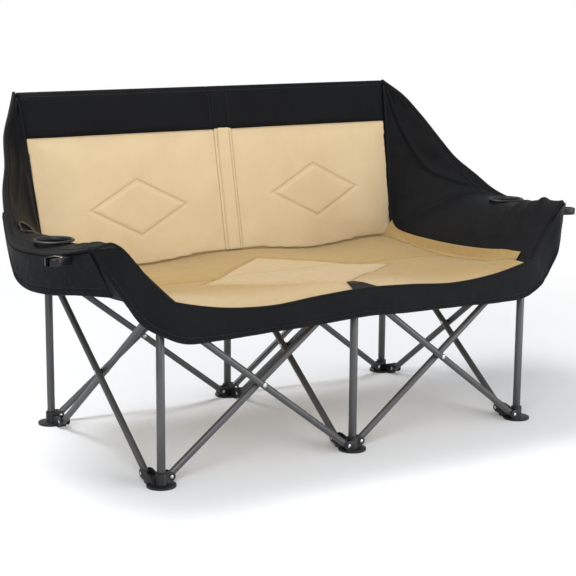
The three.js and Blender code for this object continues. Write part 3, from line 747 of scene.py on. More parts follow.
def diamond_line(centre, half_width, half_height, place):
    """The closed line of a diamond; place() turns two flat values into a point."""
    corners = [(-half_width, 0), (0, half_height), (half_width, 0), (0, -half_height), (-half_width, 0)]
    line = []
    for (a, b), (c, d) in zip(corners, corners[1:]):
        for t in spread(40)[:-1]:
            line.append(place(centre[0] + mix(a, c, t), centre[1] + mix(b, d, t)))
    return line + [line[0]]


def seat_under(x, y):
    over = math.cos(math.pi * x / W) ** 2 * math.cos(math.pi * y / D) ** 2
    near_side = smooth((abs(x) - SEAT_W + 0.065) / 0.065)
    near_front = smooth(1 - max(y, 0) / 0.12)
    return SEAT_Z - 0.014 * (1 - over) ** 1.5 + 0.018 * near_side * near_front


def squash_x(obj):
    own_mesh(obj)


def squash_wing(obj):
    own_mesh(obj)


# Seat


def seat_top(x, y):
    side = smooth((1 - abs(x) / SEAT_W) * 6)
    front = smooth((y + LIP) / LIP)
    back = smooth((REAR - y) / LIP)
    inside = max(1 - abs(x) / DIAMOND_W - abs(y - DIAMOND_Y) / DIAMOND_D, 0.0)
    rear = smooth((y - REAR + LIP) / LIP)
    crown = 0.007 * side * front * back * (0.6 + 0.4 * min(inside * 4, 1.0))
    return seat_under(x, y) + 0.008 + 0.0014 * rear + crown


def seat_half(half, front, back):
    """Half of the padded seat, with its part of the sewn diamond."""

    def low(u, v):
        x, y = mix(-SEAT_W, SEAT_W, u), mix(front, back, v)
        return at(x, y, seat_under(x, y))

    def height(u, v):
        x, y = mix(-SEAT_W, SEAT_W, u), mix(front, back, v)
        return at(x, y, seat_top(x, y) - 0.002).z - low(u, v).z

    shape = sheet_grid(low, UP, 0.0, height, spread(110), spread(36))
    pad = mesh_piece(f"seat_{half}_pad", shape, SEAT, f"seat_{half}_half")

    def pinned(co):
        x, y = co[0], co[1] - Y0
        edge = min(SEAT_W - abs(x), y - front, back - y)
        return edge < 0.008 or co[2] < seat_under(x, y) + 0.004

    def settle(co, n):
        x, y = co.x, co.y - Y0
        if n.z < 0.2:
            return co
        side = abs(x) / DIAMOND_W + abs(y - DIAMOND_Y) / DIAMOND_D - 1
        groove = 0.0042 * hump(side * DIAMOND_D * 0.85, 0.0075)
        ripple = wavy(x * 9, y * 5, 1.7) * 0.0020 + wavy(x * 26, y * 20, 4.1) * 0.0007
        lengthways = wavy(x * 5 + y * 3, y * 22, 6.6) * 0.0012
        open_front = y - front if front < 0 else 1
        open_back = back - y if back > D * 0.7 else 1
        fade = smooth(min(SEAT_W - abs(x), open_front, open_back) / 0.03)
        return co + UP * ((ripple + lengthways) * fade - groove + 0.0016 * smooth(-side * 5))

    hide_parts(f"seat_{half}")
    make_pad(pad, SEAT, 0.005, pinned, settle)
    # The diamond's line is cut into the runs that lie on this half
    whole = diamond_line((0.0, DIAMOND_Y), DIAMOND_W, DIAMOND_D, lambda x, y: at(x, y, seat_top(x, y)))
    runs = [[]]
    for p in whole:
        if front + 0.004 < p.y - Y0 < back - 0.004:
            runs[-1].append(p)
        elif runs[-1]:
            runs.append([])
    runs = [run for run in runs if len(run) > 1]
    stitches(f"seat_{half}_pad_stitches", runs, UP, surface_tree(pad), f"seat_{half}_half", SEAT_THREAD,
             squash_x, radius=0.0008)


SEAM = D / 2
seat_half("front", -LIP, SEAM - 0.0003)
seat_half("rear", SEAM + 0.0003, REAR)


def seat_strip(name, half, front, back):
    """A strip below the seat's cloth, so that no light shows through where two pieces meet."""

    def base(u, v):
        x, y = mix(0.004 - SEAT_W, SEAT_W - 0.004, u), mix(front, back, v)
        return at(x, y, seat_under(x, min(y, REAR)))

    shape = sheet_grid(base, UP, 0.0006, 0.0022, spread(100), spread(4))
    cloth(name, shape, SEAT_SHADED, f"seat_{half}_half", squash_x,
          flat=(0.984, round(back - front, 4)), held="laid", rests_on=[f"seat_{half}_pad"])


seat_strip("seat_middle_strip", "front", SEAM - 0.012, SEAM + 0.012)
seat_strip("seat_rear_strip", "rear", REAR - 0.022, D - 0.0086)

# Backrest

BACK_BODY = "back_middle_hub"
BACK_BAND = 0.108
BAND_Z = TOP - BACK_BAND
BACK_LEAN = math.atan(LEAN)
BACK_N = Vector((0, -math.cos(BACK_LEAN), math.sin(BACK_LEAN)))
UNDER_PANELS = 0.0016  # the shell is thin where the panels lie on it
ON_SHELL = UNDER_PANELS + 0.0003
SLEEVE_X = (-0.013, 0.040)
SLEEVE_SEAM = 0.0075  # from the sleeve's edge


def near_hub(x):
    return max(hump(abs(x), 0.045), hump(abs(x) - W, 0.045))


def shell_foot(x):
    """The shell's lower edge hangs a little behind the seat's rear edge, clear of the hubs."""
    return seat_under(x, REAR) + mix(-0.004, 0.0010, near_hub(x))


def panel_foot(x):
    return seat_under(x, REAR) + 0.0088


def back_front(x, z):
    """A point of the plane along the fronts of the leaning posts."""
    return at(x, post_y(z) - R_TUBE - 0.0005, z)


def back_shell():
    def base(u, v):
        z = mix(shell_foot(BACK_W * u), TOP, v)
        return back_front((BACK_W + post_flare(z) / 2) * u, z)

    def thick(u, v):
        p = base(u, v)
        z = p.z
        band = smooth((z - BAND_Z + 0.004) / 0.006)
        edge = smooth((1 - abs(u)) * 30) * smooth((1 - v) * 25)
        wave = wavy(u * 4.5, z * 9, 3.3) * 0.0042 + wavy(u * 14, z * 8, 8.8) * 0.0022
        sewn = sum(hump(p.x - x + 0.008, 0.0035) for x in SLEEVE_X)
        top_seam = 0.0016 * hump(z - TOP + 0.012, 0.0035)
        return UNDER_PANELS + band * (0.0055 + 0.006 * edge + wave * edge - 0.0035 * sewn - top_seam)

    shape = sheet_grid(base, BACK_N, 0.0, thick, spread(150, -1, 1), spread(60))
    shell = cloth("back_shell", shape, BLACK, BACK_BODY, squash_x, "backrest", flat=(1.08, 0.43),
                  held="stretched", rests_on=["post_back_left", "post_back_middle", "post_back_right"])
    lines = [[back_front(x, TOP - 0.012) for x in spread(200, -BACK_W, BACK_W)]]
    lines += [[back_front(x - 0.008, z) for z in spread(20, BAND_Z + 0.004, TOP - 0.014)] for x in SLEEVE_X]
    stitches("back_band_stitches", lines, BACK_N, surface_tree(shell), BACK_BODY, BLACK_THREAD, squash_x)


def back_foot():
    """A tan strip that carries the back's cloth down behind the seat's rear edge."""

    def base(u, v):
        x = (BACK_W - 0.012) * u
        return back_front(x, mix(shell_foot(x) + 0.0004, seat_under(x, REAR) + 0.026, v))

    shape = sheet_grid(base, BACK_N, UNDER_PANELS + 0.0002, 0.0042, spread(120, -1, 1), spread(6))
    cloth("back_foot", shape, BACK_SHADED, BACK_BODY, squash_x,
          flat=(1.04, 0.028), held="stretched", rests_on=["back_shell"])


DIAMONDS = {"left": (-0.256, 0.522), "right": (0.279, 0.533)}
DIA_W, DIA_H = 0.134, 0.0685


def back_panel(side, x_in, x_out):
    """A tan padded panel on the front of the shell, from the seat up to the black band."""
    way = SIDES[side]
    centre = DIAMONDS[side]

    def base(u, v):
        x = mix(x_in, x_out, u)
        z = mix(panel_foot(x), BAND_Z, v)
        return back_front(x + way * u * post_flare(z) / 2, z)

    def high(u, v):
        return 0.0088 + 0.006 * margin(u, v, (10, 12, 9, 9))

    def diamond(x, z):
        return abs(x - centre[0]) / DIA_W + abs(z - centre[1]) / DIA_H - 1

    def inside(x, z):
        """How far a place is from the panel's nearest edge."""
        outer = way * x_out + post_flare(z) / 2
        return min(outer - way * x, way * (x - x_in), BAND_Z - z, z - panel_foot(x))

    def pinned(co):
        x, z = co[0], co[2]
        depth = (Vector(co) - back_front(x, z)).dot(BACK_N)
        return inside(x, z) < 0.008 or depth < 0.0045

    def settle(co, n):
        x, z = co.x, co.z
        if n.dot(BACK_N) < 0.2:
            return co
        groove = 0.0030 * hump(abs(diamond(x, z)) * DIA_H * 0.9, 0.0045)
        raised = 0.0014 * smooth(-diamond(x, z) * 4)
        ripple = wavy(x * 8, z * 10, 5.2) * 0.0018 + wavy(x * 22, z * 26, 2.4) * 0.0006
        folds = wavy(x * 6, z * 34, 7.1) * 0.0013 * smooth((0.50 - z) / 0.08)
        return co + BACK_N * ((ripple + folds) * smooth(inside(x, z) / 0.03) + raised - groove)

    shape = sheet_grid(base, BACK_N, ON_SHELL, high, spread(64), spread(52))
    pad = mesh_piece(f"back_panel_{side}", shape, TAN, BACK_BODY)
    make_pad(pad, TAN, 0.0045, pinned, settle)
    flare = post_flare(BAND_Z)
    rim = [back_front(mix(x_in, x_out, u) + way * 0.5 * u * flare, BAND_Z - 0.0055)
           for u in spread(80, 0.02, 0.98)]
    stitches(f"back_panel_{side}_stitches", [diamond_line(centre, DIA_W, DIA_H, back_front), rim], BACK_N,
             surface_tree(pad), BACK_BODY, BACK_THREAD, squash_x)


def sleeve():
    """The cloth sleeve over the middle post, with a seam along each side."""
    low_x, high_x = SLEEVE_X

    def base(u, v):
        x = mix(low_x + 0.0006, high_x - 0.0006, u)
        return back_front(x, mix(panel_foot(x), BAND_Z, v))

    def high(u, v):
        x = mix(low_x, high_x, u)
        near = min(x - low_x, high_x - x)
        roll = 0.0050 * smooth(near / 0.010) + wavy(x * 30, v * 14, 0.4) * 0.0010
        return 0.0080 + roll - 0.0036 * hump(near - SLEEVE_SEAM, 0.0026)

    shape = sheet_grid(base, BACK_N, ON_SHELL, high, spread(40), spread(60))
    strip = cloth("back_sleeve", shape, TAN, BACK_BODY, squash_x,
                  flat=(0.056, 0.32), held="stretched", rests_on=["post_back_middle"])
    lines = [[back_front(x, z) for z in spread(60, 0.40, BAND_Z - 0.004)]
             for x in (low_x + SLEEVE_SEAM, high_x - SLEEVE_SEAM)]
    stitches("back_sleeve_stitches", lines, BACK_N, surface_tree(strip), BACK_BODY, BACK_THREAD, squash_x)


back_shell()
back_foot()
back_panel("left", SLEEVE_X[0], -BACK_W + 0.006)
back_panel("right", SLEEVE_X[1], BACK_W - 0.006)
sleeve()

# Winged arms

# Each curve runs from the back to the front: shares of the arm's reach, of D and of the height
RIM = [(0.204, 1.149, 1), (0.37, 1.053, 0.905), (0.517, 0.982, 0.782), (0.635, 0.877, 0.627),
       (0.744, 0.807, 0.513), (0.853, 0.702, 0.414), (0.948, 0.596, 0.32), (1, 0.474, 0.272),
       (0.93, 0.298, 0.268), (0.84, 0.149, 0.29), (0.72, 0.03, 0.33)]
OUTER = [(0.197, 1.144, 0.99), (0.308, 1.084, 0.9), (0.393, 1.032, 0.761), (0.46, 0.956, 0.582),
         (0.498, 0.904, 0.433), (0.531, 0.821, 0.324), (0.545, 0.737, 0.262), (0.483, 0.605, 0.262),
         (0.47, 0.386, 0.266), (0.49, 0.16, 0.3), (0.51, -0.03, 0.362)]
INNER = [(0.19, 1.138, 0.98), (0.237, 1.104, 0.882), (0.275, 1.065, 0.733), (0.294, 1.016, 0.549),
         (0.284, 0.982, 0.366), (0.27, 0.93, 0.229), (0.237, 0.86, 0.153), (0.166, 0.719, 0.137),
         (0.155, 0.46, 0.137), (0.2, 0.19, 0.165), (0.235, -0.045, 0.23)]
SEAMS = [(0.18, 1.125, 0.969), (0.175, 1.107, 0.875), (0.166, 1.084, 0.733), (0.147, 1.054, 0.544),
         (0.123, 1.025, 0.355), (0.1, 0.998, 0.189), (0.057, 0.95, 0.059), (-0.005, 0.825, -0.012),
         (-0.012, 0.526, -0.036), (-0.016, 0.246, -0.02), (-0.055, -0.077, 0.05)]
ARM_REACH, ARM_LOW = 0.211, 0.390  # the arm's reach past its posts and its zero height
FRONT_SAG = 0.014  # how far the cloth dips between the seat's corner and the arm's tip


def wing_point(row, way):
    out, back, rise = row
    return at(way * (W + ARM_REACH * out), D * back, ARM_LOW + (TOP - ARM_LOW) * rise)


WING = {way: [[wing_point(row, way) for row in table] for table in (SEAMS, INNER, OUTER, RIM)]
        for way in (-1, 1)}
WING_WIDE, WING_LONG = 0.27, 1.05


def wing_at(way, u, v):
    """A place on the arm: u runs from its seam out to its rim, v from the back to the front."""
    p = catmull([catmull(curve, v) for curve in WING[way]], u)
    sag = math.sin(math.pi * min(u / 0.75, 1.0)) * smooth((v - 0.84) / 0.16)
    return p - UP * FRONT_SAG * sag


def wing_normal(way):
    return numeric_normal(lambda u, v: wing_at(way, u, v), -way)


# Straight soft folds: two ends in u and v, a width and a height
FOLDS = [(0.14, 0.01, 0.42, 0.20, 0.011, 0.005), (0.42, 0.20, 0.64, 0.36, 0.012, 0.006),
         (0.64, 0.36, 0.90, 0.55, 0.011, 0.006), (0.80, 0.02, 0.55, 0.13, 0.010, 0.005),
         (0.30, 0.30, 0.22, 0.48, 0.020, 0.005), (0.35, 0.60, 0.70, 0.64, 0.014, 0.005),
         (0.22, 0.84, 0.66, 0.83, 0.009, 0.006), (0.24, 0.90, 0.78, 0.87, 0.009, 0.007),
         (0.14, 0.975, 0.86, 0.925, 0.008, 0.008), (0.30, 0.955, 0.70, 0.905, 0.007, 0.005)]


def folds_at(u, v):
    total = 0.0
    for u0, v0, u1, v1, width, height in FOLDS:
        du, dv = (u1 - u0) * WING_WIDE, (v1 - v0) * WING_LONG
        pu, pv = (u - u0) * WING_WIDE, (v - v0) * WING_LONG
        t = (pu * du + pv * dv) / (du * du + dv * dv)
        along = min(max(t, 0.0), 1.0)
        off = math.hypot(pu - along * du, pv - along * dv)
        total += height * hump(off, width) * smooth(t * 4 + 0.5) * smooth((1 - t) * 4 + 0.5)
    return total


SEAM_U = 0.925
POCKET = (0.61, 0.583, 0.24, 0.050)  # centre and half sizes on the left arm, across it and along it
CUP = (W + 0.140, 0.225)
CUP_HOLE = 0.0395


def off_pocket(u, v):
    """Below 1 in the pocket."""
    return max(abs(u - POCKET[0]) / POCKET[2], abs(v - POCKET[1]) / POCKET[3])


def wing(side, way):
    """The cloth of an arm with its bound edges, its seam and the pieces sewn to it."""
    body = f"{side}_arm"
    normal = wing_normal(way)

    def base(u, v):
        return wing_at(way, u, v)

    def wrinkle(u, v):
        p = base(u, v)
        return wavy(p.x * 7, p.y * 6, p.z * 7) * 0.006 + wavy(p.x * 22 + 5, p.y * 18, p.z * 20) * 0.0022

    def calm(u, v):
        """The arm is smooth under the seat's side and in the pocket."""
        beside = 1 - smooth((v - 0.50) / 0.08) * (1 - smooth((u - 0.20) / 0.12))
        return beside * (smooth((off_pocket(u, v) - 0.95) / 0.3) if way < 0 else 1.0)

    def high(u, v):
        edge = margin(u, v, (6, 9, 12, 14))
        pad = smooth((v - 0.5) / 0.12) * smooth((u - 0.45) / 0.2)
        seam = 0.0026 * hump(u - SEAM_U, 0.013)
        creases = (wrinkle(u, v) + 0.75 * folds_at(u, v)) * calm(u, v)
        dip = 0.0045 * smooth((0.96 - off_pocket(u, v)) * 9) if way < 0 else 0.0
        return max(0.0058 + edge * (0.0045 + 0.0035 * pad + creases) - seam - dip, 0.0030)

    def low(u, v):
        edge = margin(u, v, (6, 12, 12, 14))
        hollow = min(wrinkle(u + 0.37, v) * 0.7 - 0.6 * folds_at(u, v), 0.0)
        return edge * max(hollow, -0.006)

    us = sorted(set(spread(76) + [SEAM_U + 0.006 * k for k in range(-4, 5)]))
    shape = sheet_grid(base, normal, low, high, us, spread(200))
    piece = mesh_piece(f"arm_{side}_wing", shape, BLACK, body)
    cut_cup_hole(piece, way)
    finish_faces(piece, BLACK[0])
    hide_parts(f"arm_{side}")
    squash_wing(piece)
    tree = surface_tree(piece)
    front_edge = [base(t, 1.0) + normal(t, 0.999) * 0.002 for t in spread(60, 0.03, 1)]
    for name, line, radius in (
            ("rim", edge_line(base, normal, 1.0, spread(170, 0.004, 1), 0.003), 0.0044),
            ("front_edge", front_edge, 0.0027),
            ("inner_piping", edge_line(base, normal, 0.0, spread(120, 0.0, 0.62), 0.003), 0.0050),
            ("front_piping", edge_line(base, normal, 0.0, spread(16, 0.965, 1), 0.001), 0.0052)):
        bound(f"arm_{side}_{name}", line, radius, body, squash_wing)
    seam_line = edge_line(base, normal, SEAM_U, spread(260, 0.02, 0.985), 0.006)
    stitches(f"arm_{side}_stitches", [seam_line], lambda p: tree.find_nearest(p)[1], tree, body,
             BLACK_THREAD, squash_wing, radius=0.0007)
    back_corner(side, way, body)
    gusset(side, way, body, tree)
    if side == "left":
        pocket(side, way, body, tree)


def cut_cup_hole(piece, way):
    shape = tube_mesh([at(way * CUP[0], CUP[1], z) for z in (0.40, 0.60)], CUP_HOLE, 64)
    tool = linked("cut", mesh_of("cut", shape))
    fix_normals(tool)
    cut = piece.modifiers.new("cup", "BOOLEAN")
    cut.operation = "DIFFERENCE"
    cut.solver = "EXACT"
    cut.object = tool
    apply_modifiers(piece)
    bpy.data.objects.remove(tool)


def back_corner(side, way, body):
    """The narrow cloth that turns from the side of the back onto the arm, from the top down."""

    def base(u, v):
        arm = wing_at(way, mix(0.85, 0.04, min(v * 16, 1.0)), 0.64 * max(v - 1 / 16, 0.0))
        z = min(arm.z, TOP - 0.002)
        back = back_front(way * (BACK_W + post_flare(z) / 2 - 0.004), z) + BACK_N * 0.003
        return back.lerp(arm, u)

    facing = Vector((-0.5 * way, -0.86, 0.0)).normalized()
    shape = sheet_grid(base, facing, -0.0015, 0.0015, spread(6), spread(80))
    cloth(f"back_corner_{side}", shape, BLACK, body, squash_wing,
          flat=(0.018, 0.42), held="stretched", area=0.0058, rests_on=[f"post_back_{side}"])


def on_wing(tree, way, u, v, lift):
    """The place on the arm's upper face at u and v, lifted off it."""
    n = wing_normal(way)(u, v)
    p = wing_at(way, u, v) + n * 0.008
    return (laid(tree, p, n) or p) + n * lift


def gusset(side, way, body, tree):
    """The tan side of the seat, which climbs the inside of the arm, in the seat's cloth darkened as painted
    shade.
    """

    def climb(v):
        return mix(0.02, 0.125, smooth((v - 0.56) / 0.20)) - 0.03 * smooth((v - 0.93) / 0.05)

    def base(u, v):
        y = min(max(wing_at(way, 0.0, v).y - Y0, -LIP), REAR)
        under = seat_under(SEAT_W, y)
        foot = [at(way * (SEAT_W + 0.0012), y, under - 0.003),
                at(way * (SEAT_W + 0.0016), y, under + 0.0075)]
        rise = [on_wing(tree, way, mix(0.012, climb(v), t), v, 0.0028) for t in (0.0, 0.25, 0.5, 0.75, 1.0)]
        return catmull(foot + rise, u)

    us, vs = spread(30), spread(90, 0.57, 0.975)
    n = len(us)
    verts = [base(u, v) for v in vs for u in us]
    faces = [(j * n + i, j * n + i + 1, (j + 1) * n + i + 1, (j + 1) * n + i)
             for j in range(len(vs) - 1) for i in range(n - 1)]
    piece = mesh_piece(f"seat_{side}_gusset", (verts, faces), SEAT_SHADED, body)
    thick = piece.modifiers.new("cloth", "SOLIDIFY")
    thick.thickness = 0.0012
    thick.offset = 0.0
    apply_modifiers(piece)
    finish_faces(piece, SEAT_SHADED[0])
    squash_wing(piece)


def pocket(side, way, body, tree):
    """The raised frame of the flat pocket behind the left arm's cup."""
    ring = []
    for k in range(64):
        a = 2 * math.pi * k / 64
        c, s = math.cos(a), math.sin(a)
        u = POCKET[0] + POCKET[2] * math.copysign(abs(c) ** 0.35, c)
        v = POCKET[1] + POCKET[3] * math.copysign(abs(s) ** 0.35, s)
        ring.append(on_wing(tree, way, u, v, 0.0010))
    frame_look = GLOSS[0], BLACK[1]
    shape = tube_mesh(ring, 0.0032, 10, closed=True)
    squash_wing(mesh_piece(f"arm_{side}_pocket_rim", shape, frame_look, body))


def cup_fittings(side):
    """A rolled plastic lip with its inner wall, and the cloth pouch that hangs from it."""
    body = f"{side}_cup_holder"
    low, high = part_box(f"cup_ring_{side}")
    centre = (low[0] + high[0]) / 2, (low[1] + high[1]) / 2
    z0, z1 = low[2], high[2]
    profile = [(0.0365, z0 - 0.012), (0.0378, z0 - 0.012), (0.0385, z0 + 0.0005), (0.0455, z0 + 0.0004),
               (0.0468, z0 + 0.0018), (0.0455, z0 + 0.0036), (0.0425, z1), (0.0400, z1 - 0.0003),
               (0.0376, z0 + 0.0030), (0.0368, z0 - 0.002)]
    stand_in(f"cup_ring_{side}", turned(profile, centre, True), PLASTIC, body, 60)
    low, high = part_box(f"cup_pouch_{side}")
    bottom, top = low[2], high[2]
    rows = spread(22)
    profile = [(0.0005, bottom + 0.0045), (0.030, bottom + 0.0045), (0.0335, bottom + 0.009)]
    profile += [(mix(0.0342, 0.0352, t), mix(bottom + 0.014, top - 0.001, t)) for t in rows]
    profile += [(0.0375, top - 0.001)]
    profile += [(mix(0.0375, 0.0362, t), mix(top - 0.004, bottom + 0.008, t)) for t in rows]
    profile += [(0.031, bottom + 0.0008), (0.0005, bottom + 0.0008)]

    def slack(r, z, angle):
        sag = 1 + 0.018 * math.sin(5 * angle + z * 60) * smooth((top - z) / 0.03) if r > 0.01 else 1
        return min(r * sag, 0.0378)

    pouch = mesh_piece(f"cup_pouch_{side}_look", turned(profile, centre, False, slack), BLACK, body)
    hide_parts(f"cup_pouch_{side}")


def glass_holder(side, way):
    """The moulded clip, with a bright pressed bar let into its top."""
    body = f"{side}_glass_holder"
    moulded(f"glass_holder_{side}", body, GLOSS, 0.0018)
    low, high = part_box(f"glass_holder_{side}")
    centre = (low + high) / 2
    reach = Vector((way * 0.953, -0.304, 0))
    across = Vector((0.304 * way, 0.953, 0))
    start = Vector((centre.x, centre.y, high.z)) - reach * 0.002
    line = [start + across * d + UP * 0.0002 for d in spread(8, -0.0125, 0.0125)]
    mesh_piece(f"glass_holder_{side}_bar", tube_mesh(line, 0.0010, 10), STEEL, body)


def skirt(side, way):
    """The cloth that hangs from the lower part of an arm's rim; the rule for its points is returned."""
    body = f"{side}_arm"
    drop = 0.084
    drops = [0.1, 0.35, 0.9, 1, 1, 1.18]
    tucks = [0, 0.04, 0.1, 0.1, 0.3, 0.6]
    tops = [wing_point(row, way) + Vector((way * 0.0005, 0, -0.0008)) for row in RIM[5:]]
    lows = [Vector((p.x - way * drop * tucks[i], p.y, p.z - drop * drops[i])) for i, p in enumerate(tops)]
    seam_v, hem_u = 0.30, 0.16

    def base(u, v):
        p = catmull(lows, v).lerp(catmull(tops, v), u)
        ends = smooth(v * 6) * smooth((1 - v) * 6)
        wave = wavy(p.x * 10, p.y * 14, 7.7) * 0.006 * smooth((1 - u) * 2) * ends
        fine = wavy(p.y * 60, p.z * 22, 3.1) * 0.0022 * ends * smooth(u * 5) * smooth((1 - u) * 5)
        return p + Vector((-way * (abs(wave) + abs(fine)), 0, 0))

    def high(u, v):
        return 0.0040 - (0.0020 * hump(v - seam_v, 0.008) + 0.0018 * hump(u - hem_u, 0.03))

    normal = numeric_normal(base, way)
    shape = sheet_grid(base, normal, 0.0006, high, spread(40), spread(150))
    piece = cloth(f"skirt_{side}_look", shape, BLACK, body, squash_wing, f"skirt_{side}",
                  flat=(0.10, 0.56), held="hung", area=SKIRT_AREA, rests_on=[f"arm_{side}_rim"])
    hem = edge_line(base, normal, 0.0, spread(90), 0.002)
    bound(f"skirt_{side}_hem", hem, 0.0028, body, squash_wing)
    lines = [[base(hem_u, t) for t in spread(160, 0.05, 0.98)],
             [base(u, seam_v) for u in spread(20, 0.2, 0.98)]]
    stitches(f"skirt_{side}_stitches", lines, Vector((way, 0, 0)), surface_tree(piece), body, BLACK_THREAD,
             squash_wing)
    return base


skirts = {}
for side, way in SIDES.items():
    wing(side, way)
    cup_fittings(side)
    glass_holder(side, way)
    skirts[side] = skirt(side, way)

# Front valance and tab

FRONT_BODY = "front_middle_hub"
# The valance's lower edge from the middle outward: shares of W and of the hubs' height
LOWS = [(0, 0.895), (0.25, 0.882), (0.5, 0.876), (0.78, 0.868), (0.93, 0.876), (1.03, 0.93), (1.11, 1),
        (1.19, 1.155), (1.255, 1.34)]
SEAT_SHARES = [0, 0.25, 0.5, 0.75, 0.965]
WING_SHARES = [0.03, 0.3, 0.64, 0.97]


def both_sides(line):
    return [Vector((-p.x, p.y, p.z)) for p in line[:0:-1]] + line


def valance():
    """The cloth below the seat's front edge and the arms' ends; the rule for its points is returned."""
    tops = [at(W * s, -LIP - 0.0008, seat_under(W * s, -LIP) + 0.0075) for s in SEAT_SHARES]
    tops += [wing_at(1, u, 1.0) + Vector((0, -0.0008, -0.0008)) for u in WING_SHARES]
    lows = [Vector((W * s, tops[i].y, ZP * h)) for i, (s, h) in enumerate(LOWS)]
    tops, lows = both_sides(tops), both_sides(lows)
    hem_u = 0.14

    def base(u, v):
        p = catmull(lows, v).lerp(catmull(tops, v), u)
        hang = smooth((1 - u) * 1.5)
        wave = wavy(p.x * 7, p.z * 5, 9.1) * 0.007 + wavy(p.x * 18, p.z * 9, 2.2) * 0.0025
        fine = wavy(p.x * 42, p.z * 16, 5.3) * 0.0022 * smooth((1 - u) * 5)
        return p + Vector((0, -(abs(wave) + abs(fine)) * hang, 0))

    def high(u, v):
        return 0.0042 - 0.0018 * hump(u - hem_u, 0.025)

    normal = numeric_normal(base, -1)
    shape = sheet_grid(base, normal, 0.0008, high, spread(34), spread(340))
    piece = cloth("valance_look", shape, BLACK, FRONT_BODY, squash_x, "front_valance",
                  flat=(0.16, 1.50), held="hung", area=VALANCE_AREA, rests_on=["seat_front_pad"])
    hem = edge_line(base, normal, 0.0, spread(260), 0.0023)
    bound("valance_hem", hem, 0.0032, FRONT_BODY, squash_x)
    lip = [p + UP * 0.0015 for p in edge_line(base, normal, 1.0, spread(220, 0.1, 0.9), 0.001)]
    bound("valance_piping", lip, 0.0030, FRONT_BODY, squash_x)
    lines = [[base(hem_u, t) for t in spread(300, 0.03, 0.97)]]
    stitches("valance_stitches", lines, Vector((0, -1, 0)), surface_tree(piece), FRONT_BODY, BLACK_THREAD,
             squash_x)
    return base


valance_at = valance()


def front_gore(side, way):
    """The cloth that closes the corner between a skirt and the end of the valance."""
    skirt_at = skirts[side]
    turn = 0.7  # the share of its length after which it climbs the valance's end

    def base(u, v):
        along = mix(0.5 + 0.4375 * way, 0.5 + 0.497 * way, min(v / turn, 1.0))
        up = 0.02 + 0.9 * max(v - turn, 0.0) / 0.3
        return skirt_at(0.97 * v, 0.99).lerp(valance_at(up, along), u)

    shape = sheet_grid(base, numeric_normal(base, way), -0.0012, 0.0012, spread(10), spread(30))
    cloth(f"front_gore_{side}", shape, BLACK, f"{side}_arm", squash_wing,
          flat=(0.05, 0.11), held="stretched", area=0.0027, rests_on=[f"skirt_{side}_look"])


for side, way in SIDES.items():
    front_gore(side, way)


def tab():
    """The webbing tab at the middle of the seat's front edge, with its button."""

    def base(u, v):
        x = 0.070 * (u - 0.5) * (1 - 0.7 * v)
        y = 0.062 * v - LIP
        return at(x, y, seat_top(x, y) + 0.0008)

    piece = mesh_piece("seat_tab_look", sheet_grid(base, UP, 0.0, 0.0022, spread(20), spread(24)), BINDING,
                       FRONT_BODY)
    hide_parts("seat_tab")
    top = base(0.5, 0.6) + Vector((0, 0, 0.002))
    path = [top + UP * d for d in (-0.0005, 0.0008, 0.0016, 0.0021)]
    button = tube_mesh(path, [0.0070, 0.0070, 0.0055, 0.0008])
    sharpen(mesh_piece("seat_tab_button", button, PLASTIC, FRONT_BODY), 50)


tab()

# Floor, lights and camera

FLOOR_COLOUR = (0.85, 0.87, 0.895)
FLOOR_GLOW = 0.02
FLOOR_HALF = 14
FADE_START, FADE_END = 0.75, 2.5  # metres from the middle of the floor


def floor_material():
    """Pale matt floor near the object, fading to plain white in front of the camera further out."""
    m = Nodes("floor_white")
    m.set(Base_Color=(*FLOOR_COLOUR, 1), Roughness=0.9, Specular_IOR_Level=0.1)
    matt = m.shader.outputs[0]
    glow = m.node("ShaderNodeEmission", strength=FLOOR_GLOW).outputs[0]
    white = m.node("ShaderNodeEmission", strength=1.0).outputs[0]
    near = m.node("ShaderNodeAddShader", {0: matt, 1: glow}).outputs[0]
    distance = m.node("ShaderNodeVectorMath", {0: m.coords}, operation="LENGTH").outputs["Value"]
    far = m.step(distance, FADE_START, FADE_END)
    fade = m.node("ShaderNodeMixShader", {0: far, 1: near, 2: white}).outputs[0]
    path = m.node("ShaderNodeLightPath")
    seen = m.math("MAXIMUM", path.outputs["Is Camera Ray"], path.outputs["Is Glossy Ray"])
    shown = m.node("ShaderNodeMixShader", {0: seen, 1: matt, 2: fade}).outputs[0]
    m.tree.links.new(shown, m.tree.nodes["Material Output"].inputs["Surface"])
    return m.material


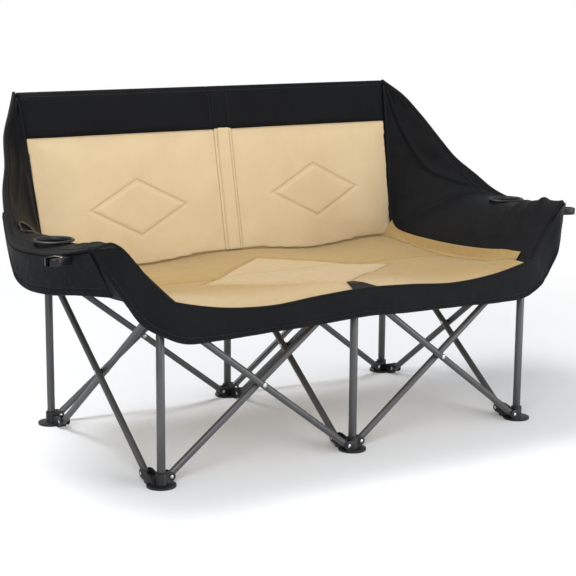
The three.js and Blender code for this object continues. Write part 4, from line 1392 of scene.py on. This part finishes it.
corners = [(-FLOOR_HALF, -FLOOR_HALF, 0), (FLOOR_HALF, -FLOOR_HALF, 0), (FLOOR_HALF, FLOOR_HALF, 0),
           (-FLOOR_HALF, FLOOR_HALF, 0)]
floor = linked("floor", mesh_of("floor", (corners, [(0, 1, 2, 3)])))
floor.data.materials.append(floor_material())
floor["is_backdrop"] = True

# A soft white world for light, seen by the camera as plain white
world = bpy.data.worlds.new("world")
bpy.context.scene.world = world
world.use_nodes = True
tree = world.node_tree
background = tree.nodes["Background"]
background.inputs["Color"].default_value = (1, 1, 1, 1)
background.inputs["Strength"].default_value = 0.56
bright = tree.nodes.new("ShaderNodeBackground")
bright.inputs["Color"].default_value = (1, 1, 1, 1)
bright.inputs["Strength"].default_value = 1.0
path = tree.nodes.new("ShaderNodeLightPath")
mixer = tree.nodes.new("ShaderNodeMixShader")
tree.links.new(path.outputs["Is Camera Ray"], mixer.inputs[0])
tree.links.new(background.outputs[0], mixer.inputs[1])
tree.links.new(bright.outputs[0], mixer.inputs[2])
tree.links.new(mixer.outputs[0], tree.nodes["World Output"].inputs["Surface"])


def area_light(name, place, target, size, power):
    data = bpy.data.lights.new(name, "AREA")
    data.shape = "SQUARE"
    data.size = size
    data.energy = power
    lamp = linked(name, data)
    lamp.location = place
    lamp.rotation_euler = (Vector(target) - Vector(place)).to_track_quat("-Z", "Y").to_euler()


area_light("key", (-2.3, -2.8, 2.3), (0, 0, 0.4), 2.0, 82)
area_light("fill", (2.2, -3.0, 1.0), (0.1, 0, 0.45), 2.2, 62)
area_light("top", (-0.9, 0.9, 3.0), (0, 0.1, 0.3), 1.2, 62)

# The camera that was fitted to the photograph, whose sizes are in pixels
AZ, EL, ROLL = math.radians(32.77), math.radians(11.03), math.radians(0.35)
TARGET, RANGE = Vector((0.115, 0.525 + Y0, 0.3)), 3.999
PHOTO, FOCAL, SHIFT_X, SHIFT_Y = 576, 1512.5, 14.5, -5.0
forward = Vector((math.sin(AZ) * math.cos(EL), math.cos(AZ) * math.cos(EL), -math.sin(EL)))
right = Vector((math.cos(AZ), -math.sin(AZ), 0))
upward = right.cross(forward)
axis_x = right * math.cos(ROLL) + upward * math.sin(ROLL)
axis_y = upward * math.cos(ROLL) - right * math.sin(ROLL)
place = TARGET - forward * RANGE
camera_data = bpy.data.cameras.new("camera")
camera_data.sensor_width = 36
camera_data.lens = FOCAL / PHOTO * camera_data.sensor_width
camera_data.shift_x = SHIFT_X / PHOTO
camera_data.shift_y = SHIFT_Y / PHOTO
camera_data.clip_end = 60
camera = linked("camera", camera_data)
camera.matrix_world = Matrix.Translation(place) @ Matrix((axis_x, axis_y, -forward)).transposed().to_4x4()
bpy.context.scene.camera = camera
bpy.context.scene.view_settings.view_transform = "Standard"

{"cad": cad_box, "visual": plain(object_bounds())}
